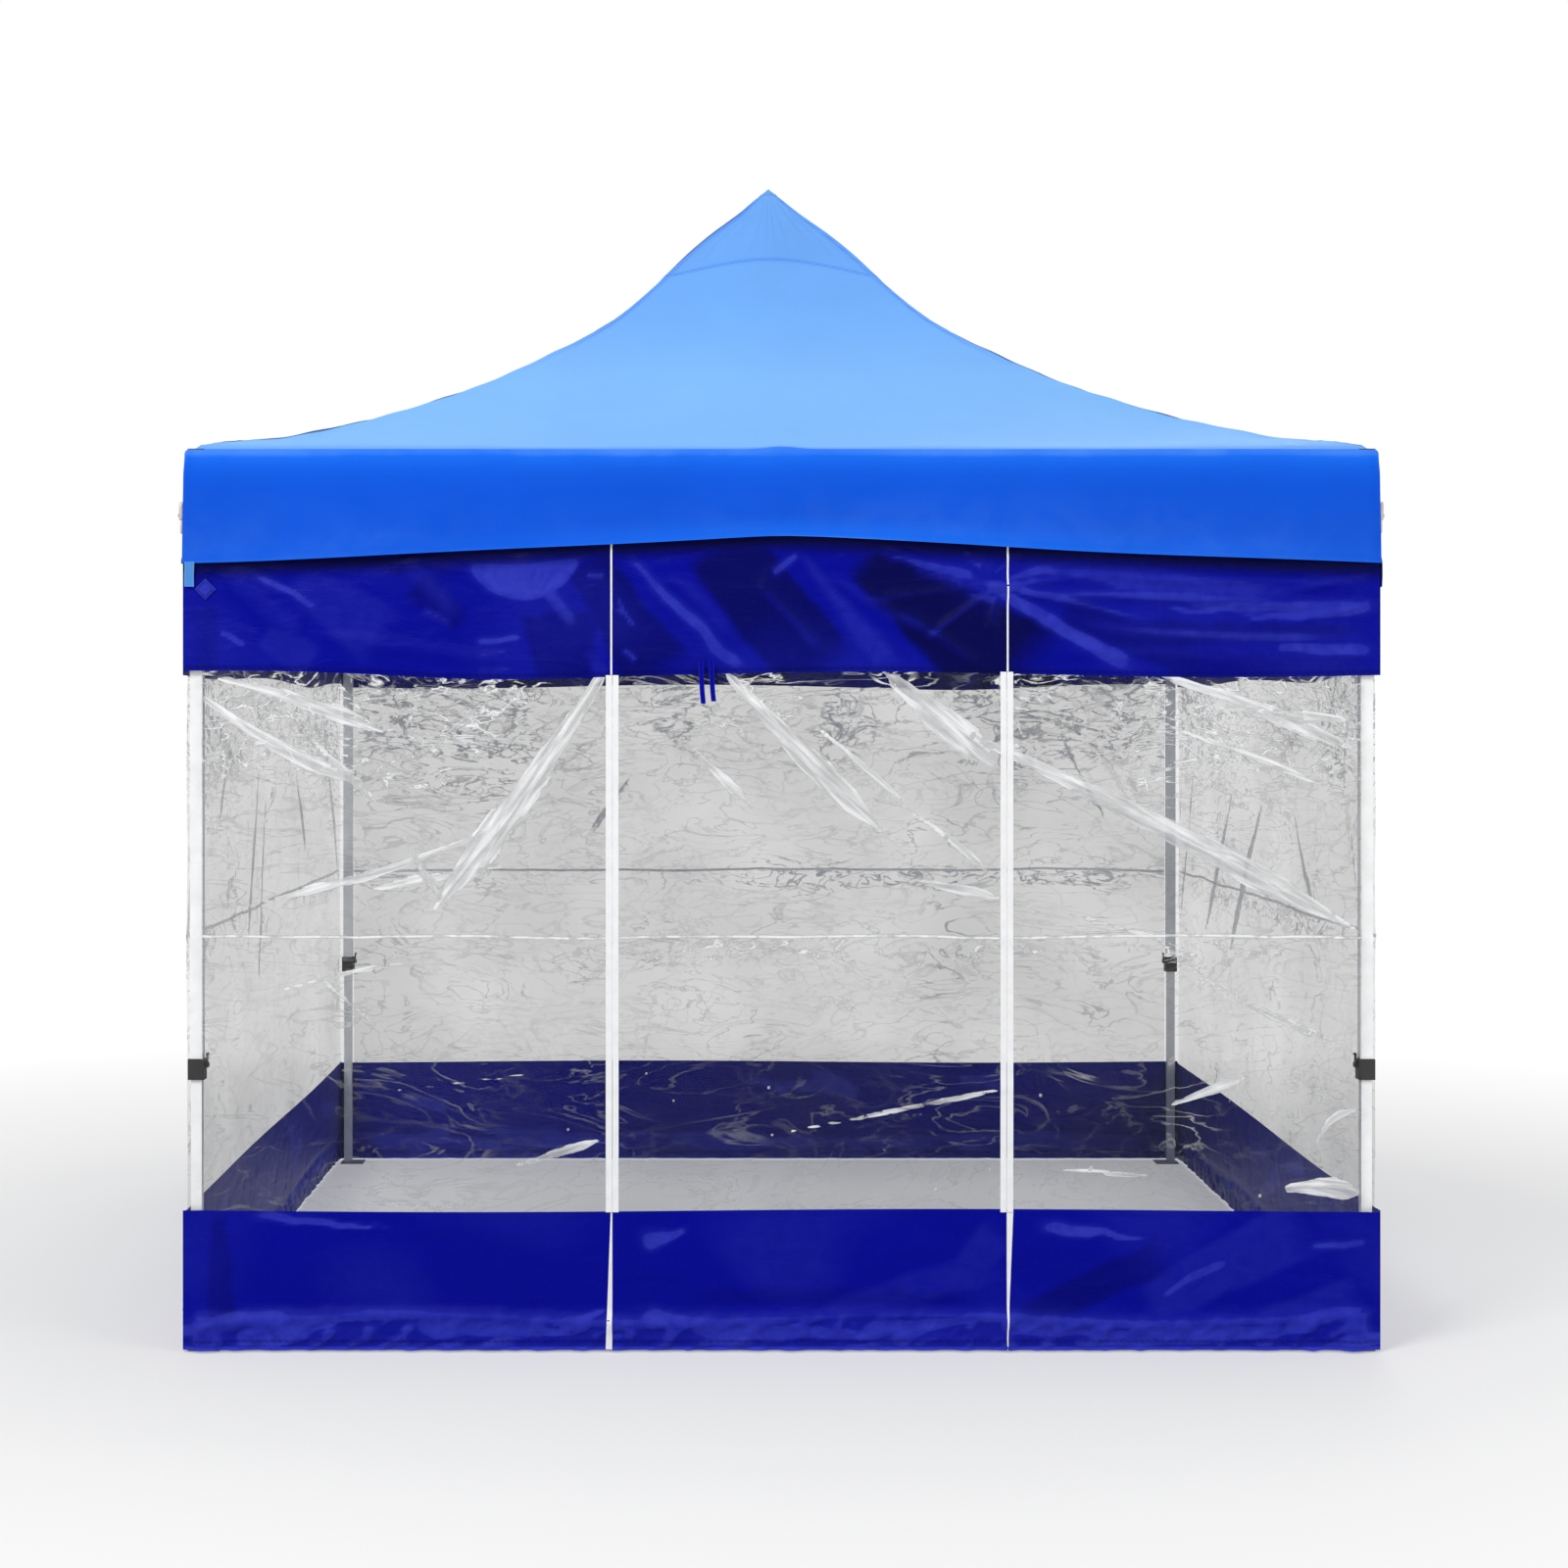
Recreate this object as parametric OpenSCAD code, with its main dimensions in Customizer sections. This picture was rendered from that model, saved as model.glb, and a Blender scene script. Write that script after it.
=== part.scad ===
/* [Overall] */
// Width and depth over the fabric at the eave, in mm
fabric_size = 3000; // [2400:10:3600]
// Height of the eave above the ground
eave_height = 2270; // [2000:5:2500]
// Height of the peak of the roof above the ground
peak_height = 3205; // [2900:5:3600]
// Thickness of the roof and wall fabric
cloth = 1.2; // [0.8:0.1:3]
// Gap between a soft part and what it lies on
seat_gap = 0.3; // [0.2:0.05:0.5]
// Gap between solids that are fitted into each other in one sub-part
fit_gap = 0.1; // [0.05:0.01:0.2]

/* [Frame] */
// Height between the upper and lower pivots when the frame is open
truss_height = 360; // [280:5:420]
// Drop from the eave to the upper pivots
pivot_drop = 45; // [40:1:60]
// Pivot offset from the leg centre at a corner
pivot_corner = 40; // [38:1:48]
// Sideways pivot offset of the edge bars from the middle of a side
pivot_mid_side = 26; // [24:1:32]
// Inward pivot offset of the centre arm from the middle of a side
pivot_mid_arm = 34; // [33:1:36]
// Height of the section of a scissor bar
bar_height = 25; // [20:0.5:26]
// Thickness of the section of a scissor bar
bar_thick = 12; // [10:0.5:13]
// Wall of the scissor bar tube
bar_wall = 0.8; // [0.7:0.1:2]
// Space between the two bars of a scissor pair
bar_space = 3; // [2.4:0.1:4]
// Length of a bar past its end pivot
bar_end = 9; // [7:0.5:10]
// Pivot rivet radius
pin_r = 3; // [2:0.1:4]
// Radial clearance of a bar on its rivet
pin_gap = 0.08; // [0.02:0.01:0.1]
// Rivet head radius
head_r = 6; // [5:0.1:8]
// Rivet head thickness
head_h = 2; // [1.2:0.1:2.4]
// Thickness of the cheeks of a bracket
cheek = 2.8; // [2:0.1:3]
// Side clearance between a bar and a cheek
side_gap = 0.3; // [0.2:0.05:0.5]
// Length of a cheek past its pivot
cheek_end = 12; // [10:0.5:13]

/* [Legs] */
// Outside of the outer leg tube
leg_outer = 32; // [30:0.5:34]
// Wall of the leg tubes
leg_wall = 1; // [0.8:0.1:2]
// Outside of the inner leg tube
leg_inner = 27; // [24:0.5:28]
// Height of the lower end of the outer leg
leg_split = 702; // [650:1:720]
// Length of inner leg hidden in the outer leg
leg_overlap = 250; // [150:5:350]
// Wall of the sleeves on the outer leg
sleeve_wall = 4.2; // [3:0.1:5]
// Height of the latch housing
latch_height = 52; // [44:1:56]
// Height of the latch housing below the end of the outer leg
latch_below = 20; // [14:1:24]
// Height of the sliding sleeve above its pivot
slider_up = 45; // [30:1:60]
// Free space between the sleeves and the walls
frame_to_wall = 4; // [3:0.5:20]
// Side of the foot plate
foot_size = 80; // [70:1:100]
// Thickness of the foot plate
foot_thick = 3.5; // [2.5:0.1:6]
// Radius of the stake hole in the foot plate
stake_r = 5.5; // [4:0.1:7]
// Distance of the stake hole from the inner edges of the foot plate
stake_edge = 14; // [10:0.5:20]
// Length of the latch lever above the housing
lever_up = 14; // [10:0.5:15]
// Thickness of the latch lever
lever_thick = 4; // [3:0.1:5]
// Width of the latch lever
lever_width = 13; // [10:0.5:16]

/* [Mast] */
// Outer radius of the lower mast tube
mast_r = 11; // [9:0.1:11.2]
// Wall of the lower mast tube
mast_wall = 1.5; // [1:0.1:2]
// Radius of the sliding mast rod
rod_r = 8; // [6:0.1:8.4]
// Length of the mast rod that shows above the lower mast tube
rod_shown = 605; // [500:5:700]
// Length of the narrow mouth of the lower mast tube, which guides the rod
mast_collar = 60; // [40:5:90]
// Length of mast rod hidden in the tube
rod_overlap = 300; // [260:5:320]
// Running gap of the mast in the top hub and of the rod in its collar
mast_gap = 0.1; // [0.05:0.01:0.1]
// Radius of the peak cap
cap_r = 60; // [50:1:80]
// Height of the rim of the peak cap
cap_rim = 12; // [8:1:20]
// Thickness of the plates of the two hubs
hub_plate = 3.6; // [3:0.1:5]

/* [Fabric] */
// Height of the valance at the corners
valance_drop = 290; // [240:5:320]
// Rise of the lower edge of the valance at the middle of a side
valance_arch = 75; // [40:5:100]
// Height of the lower edge of the walls
wall_low = 6; // [4:1:30]
// Distance of the upper edge of the walls below the eave
wall_top_drop = 60; // [50:5:100]
// Left edge of the door in the front wall
door_left = -425; // [-600:5:-300]
// Right edge of the door in the front wall
door_right = 565; // [300:5:700]
// Distance of the upper edge of the door below the eave
door_top_drop = 310; // [305:5:340]
// Gap at the door's zips
zip_gap = 0.3; // [0.2:0.05:0.5]
// Width of a zip pull
pull_width = 12; // [8:0.5:16]
// Length of a zip pull
pull_length = 45; // [30:1:60]
// Height of the closed zip pulls
pull_low = 30; // [20:1:60]

/* [Hidden] */
$fn = 48;
c_white = [0.9, 0.91, 0.92];
c_black = [0.06, 0.06, 0.07];
c_roof = [0.1, 0.4, 0.95];
c_wall = [0.05, 0.06, 0.5];
half = fabric_size / 2;
wall_out = half - cloth - seat_gap;
wall_in = wall_out - cloth;
sleeve_half = leg_outer / 2 + seat_gap + sleeve_wall;
leg_c = wall_in - frame_to_wall - sleeve_half;
z_up = eave_height - pivot_drop;
z_low = z_up - truss_height;
pivot_hub = pivot_corner + pivot_mid_side - pivot_mid_arm;
span = leg_c - pivot_corner - pivot_mid_side;
bar_len = sqrt(span * span + truss_height * truss_height);
tilt = atan2(truss_height, span);
layer = (bar_thick + bar_space) / 2;
reach = sqrt(bar_end * bar_end + bar_height * bar_height / 4);
cheek_in = bar_thick / 2 + side_gap;
cheek_out = cheek_in + cheek;
cheek_h = bar_height / 2 + 0.5;
core = pivot_mid_side - reach - 1.2;
hub_r = pivot_hub - reach - 1;
plate_z = reach + 1;
valance_low = eave_height - valance_drop;
wall_high = eave_height - wall_top_drop;
door_high = eave_height - door_top_drop;
arch_r = (half * half + valance_arch * valance_arch) / (2 * valance_arch);
latch_low = leg_split - latch_below;
latch_high = latch_low + latch_height;
lever_x = sleeve_half + 4.5;
lever_z = latch_high - 16;
roof_rise = peak_height - eave_height;
mast_top = peak_height - rod_shown;
// share of the roof's rise at each share of the way from the peak to the eave
roof_t = [0, 0.04, 0.08, 0.12, 0.21, 0.295, 0.43, 0.54, 0.7, 0.86, 1];
roof_h = [1, 0.945, 0.88, 0.815, 0.655, 0.515, 0.358, 0.253, 0.134, 0.046, 0];
// share of the way at each row of points of a gore
rows = [0.04, 0.08, 0.12, 0.165, 0.21, 0.25, 0.295, 0.36, 0.43, 0.54, 0.62, 0.7, 0.78, 0.86,
    0.93, 1];
cols = 12;
gore_sag = 14;
// space left between two gores at a hip seam
seam = 0.02;

function roof_share(t) = lookup(t, [for (i = [0:len(roof_t) - 1]) [roof_t[i], roof_h[i]]]);
function quad(a, b, c, d) = [[a, b, c], [a, c, d]];
function bow(t) = t * (1 - t) * 4;
function roof_z(t, u) = eave_height + roof_rise * roof_share(t) - gore_sag * bow(t) * (1 - u * u);

function gore_point(t, u, drop) = [(t * half - seam) * u, -t * half, roof_z(t, u) - drop];
function gore_rows(drop) = [for (t = rows) for (i = [0:cols]) gore_point(t, 2 * i / cols - 1, drop)];

// top of the pad that carries the fabric at the middle of a side
mid_pad = roof_z((leg_c - layer + cheek_out) / half, 0) - cloth - seat_gap - z_up;
// lowest point of the underside of the roof over a corner sleeve
corner_pad = roof_z((leg_c + sleeve_half) / half, 1) - cloth - seat_gap;
// section of the peak cap, a shallow cone under the tip of the roof
roof_slope = (peak_height - roof_z(rows[0], 0)) / (rows[0] * half);
cap_under = peak_height - cloth - seat_gap;
cap_line = [
    [0, cap_under - 1.7 * cap_rim],
    [1.75 * rod_r, cap_under - 1.7 * cap_rim],
    [1.75 * rod_r, cap_under - 3.5 * cap_rim],
    [2.25 * rod_r, cap_under - 3.5 * cap_rim],
    [2.5 * rod_r, cap_under - 1.5 * cap_rim - 2.5 * rod_r * roof_slope],
    [cap_r, cap_under - cap_rim - cap_r * roof_slope],
    [cap_r, cap_under - cap_r * roof_slope],
    [0, cap_under]
];

module side(k) {
    rotate([0, 0, 90 * k]) children();
}

module corner(sx, sy) {
    translate([sx * leg_c, sy * leg_c, 0]) scale([sx > 0 ? -1 : 1, sy > 0 ? -1 : 1, 1]) children();
}

module bore(r, h) {
    cylinder(r = r, h = h, center = true);
}

module cube_at(low, high) {
    translate(low) cube([high[0] - low[0], high[1] - low[1], high[2] - low[2]]);
}

// rivet along Y through a fork that is centred on y = at
module rivet_y(x, y, z) {
    translate([x, y, z]) rotate([90, 0, 0]) {
        bore(pin_r, 2 * cheek_out);
        translate([0, 0, cheek_out]) cylinder(r = head_r, h = head_h);
        translate([0, 0, -cheek_out - head_h]) cylinder(r = head_r, h = head_h);
    }
}

module rivet_x(x, y, z) {
    translate([x, y, z]) rotate([0, 0, 90]) rivet_y(0, 0, 0);
}

// a bar from (0, 0, 0) along +X, with its middle pivot bored for a rivet
module bar_tube() {
    difference() {
        cube_at([-bar_end, -bar_thick / 2, -bar_height / 2],
            [bar_len + bar_end, bar_thick / 2, bar_height / 2]);
        cube_at([-bar_end - 1, -bar_thick / 2 + bar_wall, -bar_height / 2 + bar_wall],
            [bar_len + bar_end + 1, bar_thick / 2 - bar_wall, bar_height / 2 - bar_wall]);
        for (x = [0, bar_len])
            translate([x, 0, 0]) rotate([90, 0, 0]) bore(pin_r + pin_gap, bar_thick + 2);
        translate([bar_len / 2, 0, 0]) rotate([90, 0, 0]) bore(pin_r + pin_gap, bar_thick + 2);
    }
}

// the middle rivet of a scissor pair with its spacer, for the bar on the -Y side
module mid_rivet() {
    translate([bar_len / 2, 0, 0]) rotate([90, 0, 0]) {
        translate([0, 0, -bar_thick / 2 - bar_space + side_gap])
            cylinder(r = head_r + 2, h = bar_space - 2 * side_gap);
        translate([0, 0, -1.5 * bar_thick - bar_space - side_gap])
            cylinder(r = pin_r, h = 2 * bar_thick + bar_space + 2 * side_gap);
        translate([0, 0, bar_thick / 2 + side_gap]) cylinder(r = head_r, h = head_h);
        translate([0, 0, -1.5 * bar_thick - bar_space - side_gap - head_h]) cylinder(r = head_r, h = head_h);
    }
}

// bar A of a side: from the lower mid bracket up to the corner bracket, on the outer layer
module bar_a(s) {
    mirror([s < 0 ? 1 : 0, 0, 0]) translate([pivot_mid_side, -leg_c - layer, z_low]) rotate([0, -tilt, 0]) {
        bar_tube();
        mid_rivet();
    }
}

// bar B of a side: from the upper mid bracket down to the slider, on the inner layer
module bar_b(s) {
    mirror([s < 0 ? 1 : 0, 0, 0]) translate([pivot_mid_side, -leg_c + layer, z_up]) rotate([0, tilt, 0])
        bar_tube();
}

// centre arm from the top hub down to the lower mid bracket
module arm_top() {
    translate([layer, -pivot_hub, z_up]) rotate([0, 0, -90]) rotate([0, tilt, 0]) {
        bar_tube();
        mirror([0, 1, 0]) mid_rivet();
    }
}

// centre arm from the low hub up to the upper mid bracket
module arm_low() {
    translate([-layer, -pivot_hub, z_low]) rotate([0, 0, -90]) rotate([0, -tilt, 0]) bar_tube();
}

module mid_low() {
    translate([0, -leg_c, z_low]) {
        for (y = [-layer - cheek_out, -layer + cheek_in])
            cube_at([-pivot_mid_side - cheek_end, y, -cheek_h],
                [pivot_mid_side + cheek_end, y + cheek, cheek_h]);
        cube_at([-core, -layer - cheek_out, -cheek_h], [core, -layer + cheek_out, cheek_h]);
        cube_at([layer - cheek_out, -layer + cheek_in, -cheek_h],
            [layer + cheek_out, pivot_mid_arm - reach - 1, cheek_h]);
        for (x = [layer - cheek_out, layer + cheek_in])
            cube_at([x, -layer + cheek_in, -cheek_h], [x + cheek, pivot_mid_arm + cheek_end, cheek_h]);
        for (s = [-1, 1])
            rivet_y(s * pivot_mid_side, -layer, 0);
        rivet_x(layer, pivot_mid_arm, 0);
    }
}

module mid_top() {
    translate([0, -leg_c, z_up]) {
        for (y = [layer - cheek_out, layer + cheek_in])
            cube_at([-pivot_mid_side - cheek_end, y, -cheek_h],
                [pivot_mid_side + cheek_end, y + cheek, cheek_h]);
        cube_at([-core, layer - cheek_out, -cheek_h], [core, layer + cheek_out, cheek_h]);
        for (x = [-layer - cheek_out, -layer + cheek_in])
            cube_at([x, layer + cheek_in, -cheek_h], [x + cheek, pivot_mid_arm + cheek_end, cheek_h]);
        cube_at([-core - 6, layer - cheek_out, cheek_h - 0.1], [core + 6, layer + cheek_out, mid_pad]);
        for (s = [-1, 1])
            rivet_y(s * pivot_mid_side, layer, 0);
        rivet_x(-layer, pivot_mid_arm, 0);
    }
}

module hub(s) {
    difference() {
        union() {
            translate([0, 0, s > 0 ? -cheek_h : -plate_z]) cylinder(r = hub_r, h = cheek_h + plate_z);
            translate([0, 0, s > 0 ? plate_z : -plate_z - hub_plate])
                cylinder(r = pivot_hub + cheek_end + 8, h = hub_plate);
            for (k = [0:3])
                side(k) for (x = [s * layer - cheek_out, s * layer + cheek_in])
                    cube_at([x, -pivot_hub - cheek_end, s > 0 ? -cheek_h : -plate_z - 1],
                        [x + cheek, -7, s > 0 ? plate_z + 1 : cheek_h]);
        }
        bore(mast_r + (s > 0 ? mast_gap : fit_gap), 4 * (cheek_h + plate_z));
    }
    for (k = [0:3])
        side(k) rivet_x(s * layer, -pivot_hub, 0);
}

module sleeve(bore_half, low, high) {
    difference() {
        cube_at([-sleeve_half, -sleeve_half, low], [sleeve_half, sleeve_half, high]);
        cube_at([-bore_half, -bore_half, low - 1], [bore_half, bore_half, high + 1]);
    }
}

// the two forks of a corner piece, with the bars on layer s
module corner_forks(s) {
    for (k = [0, 1])
        mirror([k, -k, 0]) {
            for (y = [s * layer - cheek_out, s * layer + cheek_in])
                cube_at([sleeve_half - 1, y, -cheek_h], [pivot_corner + cheek_end, y + cheek, cheek_h]);
            rivet_y(pivot_corner, s * layer, 0);
        }
}

module square_tube(side_len, wall_t, low, high) {
    difference() {
        cube_at([-side_len / 2, -side_len / 2, low], [side_len / 2, side_len / 2, high]);
        cube_at([-side_len / 2 + wall_t, -side_len / 2 + wall_t, low - 1],
            [side_len / 2 - wall_t, side_len / 2 - wall_t, high + 1]);
    }
}

module outer_leg() {
    square_tube(leg_outer, leg_wall, leg_split, z_up + 20);
    // corner bracket
    translate([0, 0, z_up]) corner_forks(-1);
    sleeve(leg_outer / 2 + fit_gap, z_up - 28, z_up + 20);
    cube_at([-sleeve_half, -sleeve_half, z_up + 20 + fit_gap], [sleeve_half, sleeve_half, corner_pad]);
    for (x = [-sleeve_half, sleeve_half - 3])
        cube_at([x, -sleeve_half, z_up + 19], [x + 3, sleeve_half, z_up + 21]);
    // latch housing with the ears of the lever
    difference() {
        cube_at([-sleeve_half, -sleeve_half, latch_low], [sleeve_half, sleeve_half, latch_high]);
        cube_at([-leg_inner / 2 - seat_gap, -leg_inner / 2 - seat_gap, latch_low - 1],
            [leg_inner / 2 + seat_gap, leg_inner / 2 + seat_gap, latch_high + 1]);
        cube_at([-leg_outer / 2 - fit_gap, -leg_outer / 2 - fit_gap, leg_split - fit_gap],
            [leg_outer / 2 + fit_gap, leg_outer / 2 + fit_gap, latch_high + 1]);
    }
    for (s = [-1, 1])
        translate([0, s * (lever_width / 2 + seat_gap + 1.5), 0])
            cube_at([sleeve_half - 1, -1.5, lever_z - 6], [lever_x + 4, 1.5, lever_z + 6]);
    translate([lever_x, 0, lever_z]) rotate([90, 0, 0]) bore(2, lever_width + 2 * seat_gap + 4);
}

module slider() {
    translate([0, 0, z_low]) {
        corner_forks(1);
        sleeve(leg_outer / 2 + seat_gap, -cheek_h, slider_up);
    }
}

module inner_leg() {
    square_tube(leg_inner, leg_wall, foot_thick - 0.5, leg_split + leg_overlap);
    difference() {
        cube_at([-sleeve_half, -sleeve_half, 0],
            [foot_size - sleeve_half, foot_size - sleeve_half, foot_thick]);
        translate([foot_size - sleeve_half - stake_edge, foot_size - sleeve_half - stake_edge, 0])
            bore(stake_r, 30);
    }
}

module latch_lever() {
    difference() {
        union() {
            cube_at([lever_x - lever_thick / 2, -lever_width / 2, lever_z - 4],
                [lever_x + lever_thick / 2, lever_width / 2, latch_high + lever_up]);
            translate([lever_x, 0, lever_z]) rotate([90, 0, 0]) bore(3.6, lever_width);
            translate([lever_x + lever_thick / 2, 0, latch_high + lever_up - 3]) rotate([90, 0, 0])
                bore(3, lever_width);
        }
        translate([lever_x, 0, lever_z]) rotate([90, 0, 0]) bore(2 + pin_gap, lever_width + 2);
    }
}

module mast_tube() {
    difference() {
        translate([0, 0, z_low - plate_z - hub_plate])
            cylinder(r = mast_r, h = mast_top - z_low + plate_z + hub_plate);
        translate([0, 0, z_low - plate_z - hub_plate - 1])
            cylinder(r = mast_r - mast_wall, h = mast_top - z_low + plate_z - mast_collar / 2);
        translate([0, 0, mast_top - mast_collar]) cylinder(r = rod_r + mast_gap, h = mast_collar + 1);
    }
}

module mast_rod() {
    translate([0, 0, mast_top - rod_overlap])
        cylinder(r = rod_r, h = cap_under - cap_rim - mast_top + rod_overlap);
    rotate_extrude() polygon(cap_line);
}

// one quarter of the roof, sewn to its neighbours along the hips
module gore() {
    n = len(rows);
    m = cols + 1;
    points = concat(gore_rows(0), gore_rows(cloth),
        [[0, -seam, peak_height], [0, -seam, peak_height - cloth]]);
    top = n * m;
    last = (n - 1) * m;
    faces = concat(
        [for (j = [0:n - 2]) for (i = [0:cols - 1])
            each quad(j * m + i, j * m + i + 1, (j + 1) * m + i + 1, (j + 1) * m + i)],
        [for (j = [0:n - 2]) for (i = [0:cols - 1])
            each quad(top + j * m + i, top + (j + 1) * m + i,
                top + (j + 1) * m + i + 1, top + j * m + i + 1)],
        [for (i = [0:cols - 1]) each quad(last + i, last + i + 1, top + last + i + 1, top + last + i)],
        [for (j = [0:n - 2]) each quad(j * m, (j + 1) * m, top + (j + 1) * m, top + j * m)],
        [for (j = [0:n - 2])
            each quad(j * m + cols, top + j * m + cols, top + (j + 1) * m + cols, (j + 1) * m + cols)],
        [for (i = [0:cols - 1]) [2 * top, i + 1, i]],
        [for (i = [0:cols - 1]) [2 * top + 1, top + i, top + i + 1]],
        quad(2 * top, 0, top, 2 * top + 1),
        quad(2 * top, 2 * top + 1, top + cols, cols)
    );
    polyhedron(points = points, faces = faces, convexity = 6);
}

// the valance of one side, cut in a shallow arch
module valance(s) {
    long = s > 0 ? half : half - cloth - 0.02;
    difference() {
        cube_at([-long, -half, valance_low], [long, -half + cloth, eave_height - cloth - 0.02]);
        translate([0, 0, valance_low + valance_arch - arch_r]) rotate([90, 0, 0])
            cylinder(r = arch_r, h = 2 * half + 10, center = true, $fn = 720);
    }
}

module front_panel() {
    difference() {
        cube_at([-wall_out, -wall_out, wall_low], [wall_out, -wall_in, wall_high]);
        cube_at([door_left - zip_gap, -wall_out - 1, wall_low - 1],
            [door_right + zip_gap, -wall_in + 1, door_high + zip_gap]);
    }
}

module side_panel(long) {
    cube_at([-long, -wall_out, wall_low], [long, -wall_in, wall_high]);
}

module zip_pull(x, s) {
    difference() {
        cube_at([x, -half, pull_low],
            [x + s * pull_width, -half + cloth, pull_low + pull_length]);
        translate([x + s * pull_width / 2, -half, pull_low + 8]) rotate([90, 0, 0]) bore(2.5, 20);
    }
}

module centre_top_hub() {
    color(c_black) translate([0, 0, z_up]) hub(1);
}

module centre_low_hub() {
    color(c_black) translate([0, 0, z_low]) hub(-1);
}

module mast_tube_low() {
    color(c_white) mast_tube();
}

module mast_rod_cap() {
    color(c_white) mast_rod();
}

module roof() {
    color(c_roof) union() {
        for (k = [0:3])
            side(k) gore();
        for (k = [0:3])
            side(k) valance(k % 2 == 0 ? 1 : -1);
    }
}

module front_arm_top() {
    color(c_white) side(0) arm_top();
}

module right_arm_top() {
    color(c_white) side(1) arm_top();
}

module back_arm_top() {
    color(c_white) side(2) arm_top();
}

module left_arm_top() {
    color(c_white) side(3) arm_top();
}

module front_arm_low() {
    color(c_white) side(0) arm_low();
}

module right_arm_low() {
    color(c_white) side(1) arm_low();
}

module back_arm_low() {
    color(c_white) side(2) arm_low();
}

module left_arm_low() {
    color(c_white) side(3) arm_low();
}

module front_mid_top() {
    color(c_black) side(0) mid_top();
}

module right_mid_top() {
    color(c_black) side(1) mid_top();
}

module back_mid_top() {
    color(c_black) side(2) mid_top();
}

module left_mid_top() {
    color(c_black) side(3) mid_top();
}

module front_mid_low() {
    color(c_black) side(0) mid_low();
}

module right_mid_low() {
    color(c_black) side(1) mid_low();
}

module back_mid_low() {
    color(c_black) side(2) mid_low();
}

module left_mid_low() {
    color(c_black) side(3) mid_low();
}

module front_bar_a_left() {
    color(c_white) side(0) bar_a(-1);
}

module front_bar_a_right() {
    color(c_white) side(0) bar_a(1);
}

module right_bar_a_front() {
    color(c_white) side(1) bar_a(-1);
}

module right_bar_a_back() {
    color(c_white) side(1) bar_a(1);
}

module back_bar_a_right() {
    color(c_white) side(2) bar_a(-1);
}

module back_bar_a_left() {
    color(c_white) side(2) bar_a(1);
}

module left_bar_a_back() {
    color(c_white) side(3) bar_a(-1);
}

module left_bar_a_front() {
    color(c_white) side(3) bar_a(1);
}

module front_bar_b_left() {
    color(c_white) side(0) bar_b(-1);
}

module front_bar_b_right() {
    color(c_white) side(0) bar_b(1);
}

module right_bar_b_front() {
    color(c_white) side(1) bar_b(-1);
}

module right_bar_b_back() {
    color(c_white) side(1) bar_b(1);
}

module back_bar_b_right() {
    color(c_white) side(2) bar_b(-1);
}

module back_bar_b_left() {
    color(c_white) side(2) bar_b(1);
}

module left_bar_b_back() {
    color(c_white) side(3) bar_b(-1);
}

module left_bar_b_front() {
    color(c_white) side(3) bar_b(1);
}

module outer_leg_front_left() {
    color(c_white) corner(-1, -1) outer_leg();
}

module outer_leg_front_right() {
    color(c_white) corner(1, -1) outer_leg();
}

module outer_leg_back_right() {
    color(c_white) corner(1, 1) outer_leg();
}

module outer_leg_back_left() {
    color(c_white) corner(-1, 1) outer_leg();
}

module slider_front_left() {
    color(c_black) corner(-1, -1) slider();
}

module slider_front_right() {
    color(c_black) corner(1, -1) slider();
}

module slider_back_right() {
    color(c_black) corner(1, 1) slider();
}

module slider_back_left() {
    color(c_black) corner(-1, 1) slider();
}

module inner_leg_front_left() {
    color(c_white) corner(-1, -1) inner_leg();
}

module inner_leg_front_right() {
    color(c_white) corner(1, -1) inner_leg();
}

module inner_leg_back_right() {
    color(c_white) corner(1, 1) inner_leg();
}

module inner_leg_back_left() {
    color(c_white) corner(-1, 1) inner_leg();
}

module latch_lever_front_left() {
    color(c_black) corner(-1, -1) latch_lever();
}

module latch_lever_front_right() {
    color(c_black) corner(1, -1) latch_lever();
}

module latch_lever_back_right() {
    color(c_black) corner(1, 1) latch_lever();
}

module latch_lever_back_left() {
    color(c_black) corner(-1, 1) latch_lever();
}

module front_wall() {
    color(c_wall) front_panel();
}

module right_wall() {
    color(c_wall) side(1) side_panel(wall_in - seat_gap);
}

module back_wall() {
    color(c_wall) side(2) side_panel(wall_out);
}

module left_wall() {
    color(c_wall) side(3) side_panel(wall_in - seat_gap);
}

module door_panel() {
    color(c_wall) cube_at([door_left, -wall_out, wall_low], [door_right, -wall_in, door_high]);
}

module zip_pull_left() {
    color(c_white) zip_pull(door_left - zip_gap - 1 - pull_width, 1);
}

module zip_pull_right() {
    color(c_white) zip_pull(door_right + zip_gap + 1, 1);
}

centre_top_hub();
centre_low_hub();
mast_tube_low();
mast_rod_cap();
roof();
front_arm_top();
right_arm_top();
back_arm_top();
left_arm_top();
front_arm_low();
right_arm_low();
back_arm_low();
left_arm_low();
front_mid_top();
right_mid_top();
back_mid_top();
left_mid_top();
front_mid_low();
right_mid_low();
back_mid_low();
left_mid_low();
front_bar_a_left();
front_bar_a_right();
right_bar_a_front();
right_bar_a_back();
back_bar_a_right();
back_bar_a_left();
left_bar_a_back();
left_bar_a_front();
front_bar_b_left();
front_bar_b_right();
right_bar_b_front();
right_bar_b_back();
back_bar_b_right();
back_bar_b_left();
left_bar_b_back();
left_bar_b_front();
outer_leg_front_left();
outer_leg_front_right();
outer_leg_back_right();
outer_leg_back_left();
slider_front_left();
slider_front_right();
slider_back_right();
slider_back_left();
inner_leg_front_left();
inner_leg_front_right();
inner_leg_back_right();
inner_leg_back_left();
latch_lever_front_left();
latch_lever_front_right();
latch_lever_back_right();
latch_lever_back_left();
front_wall();
right_wall();
back_wall();
left_wall();
door_panel();
zip_pull_left();
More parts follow.
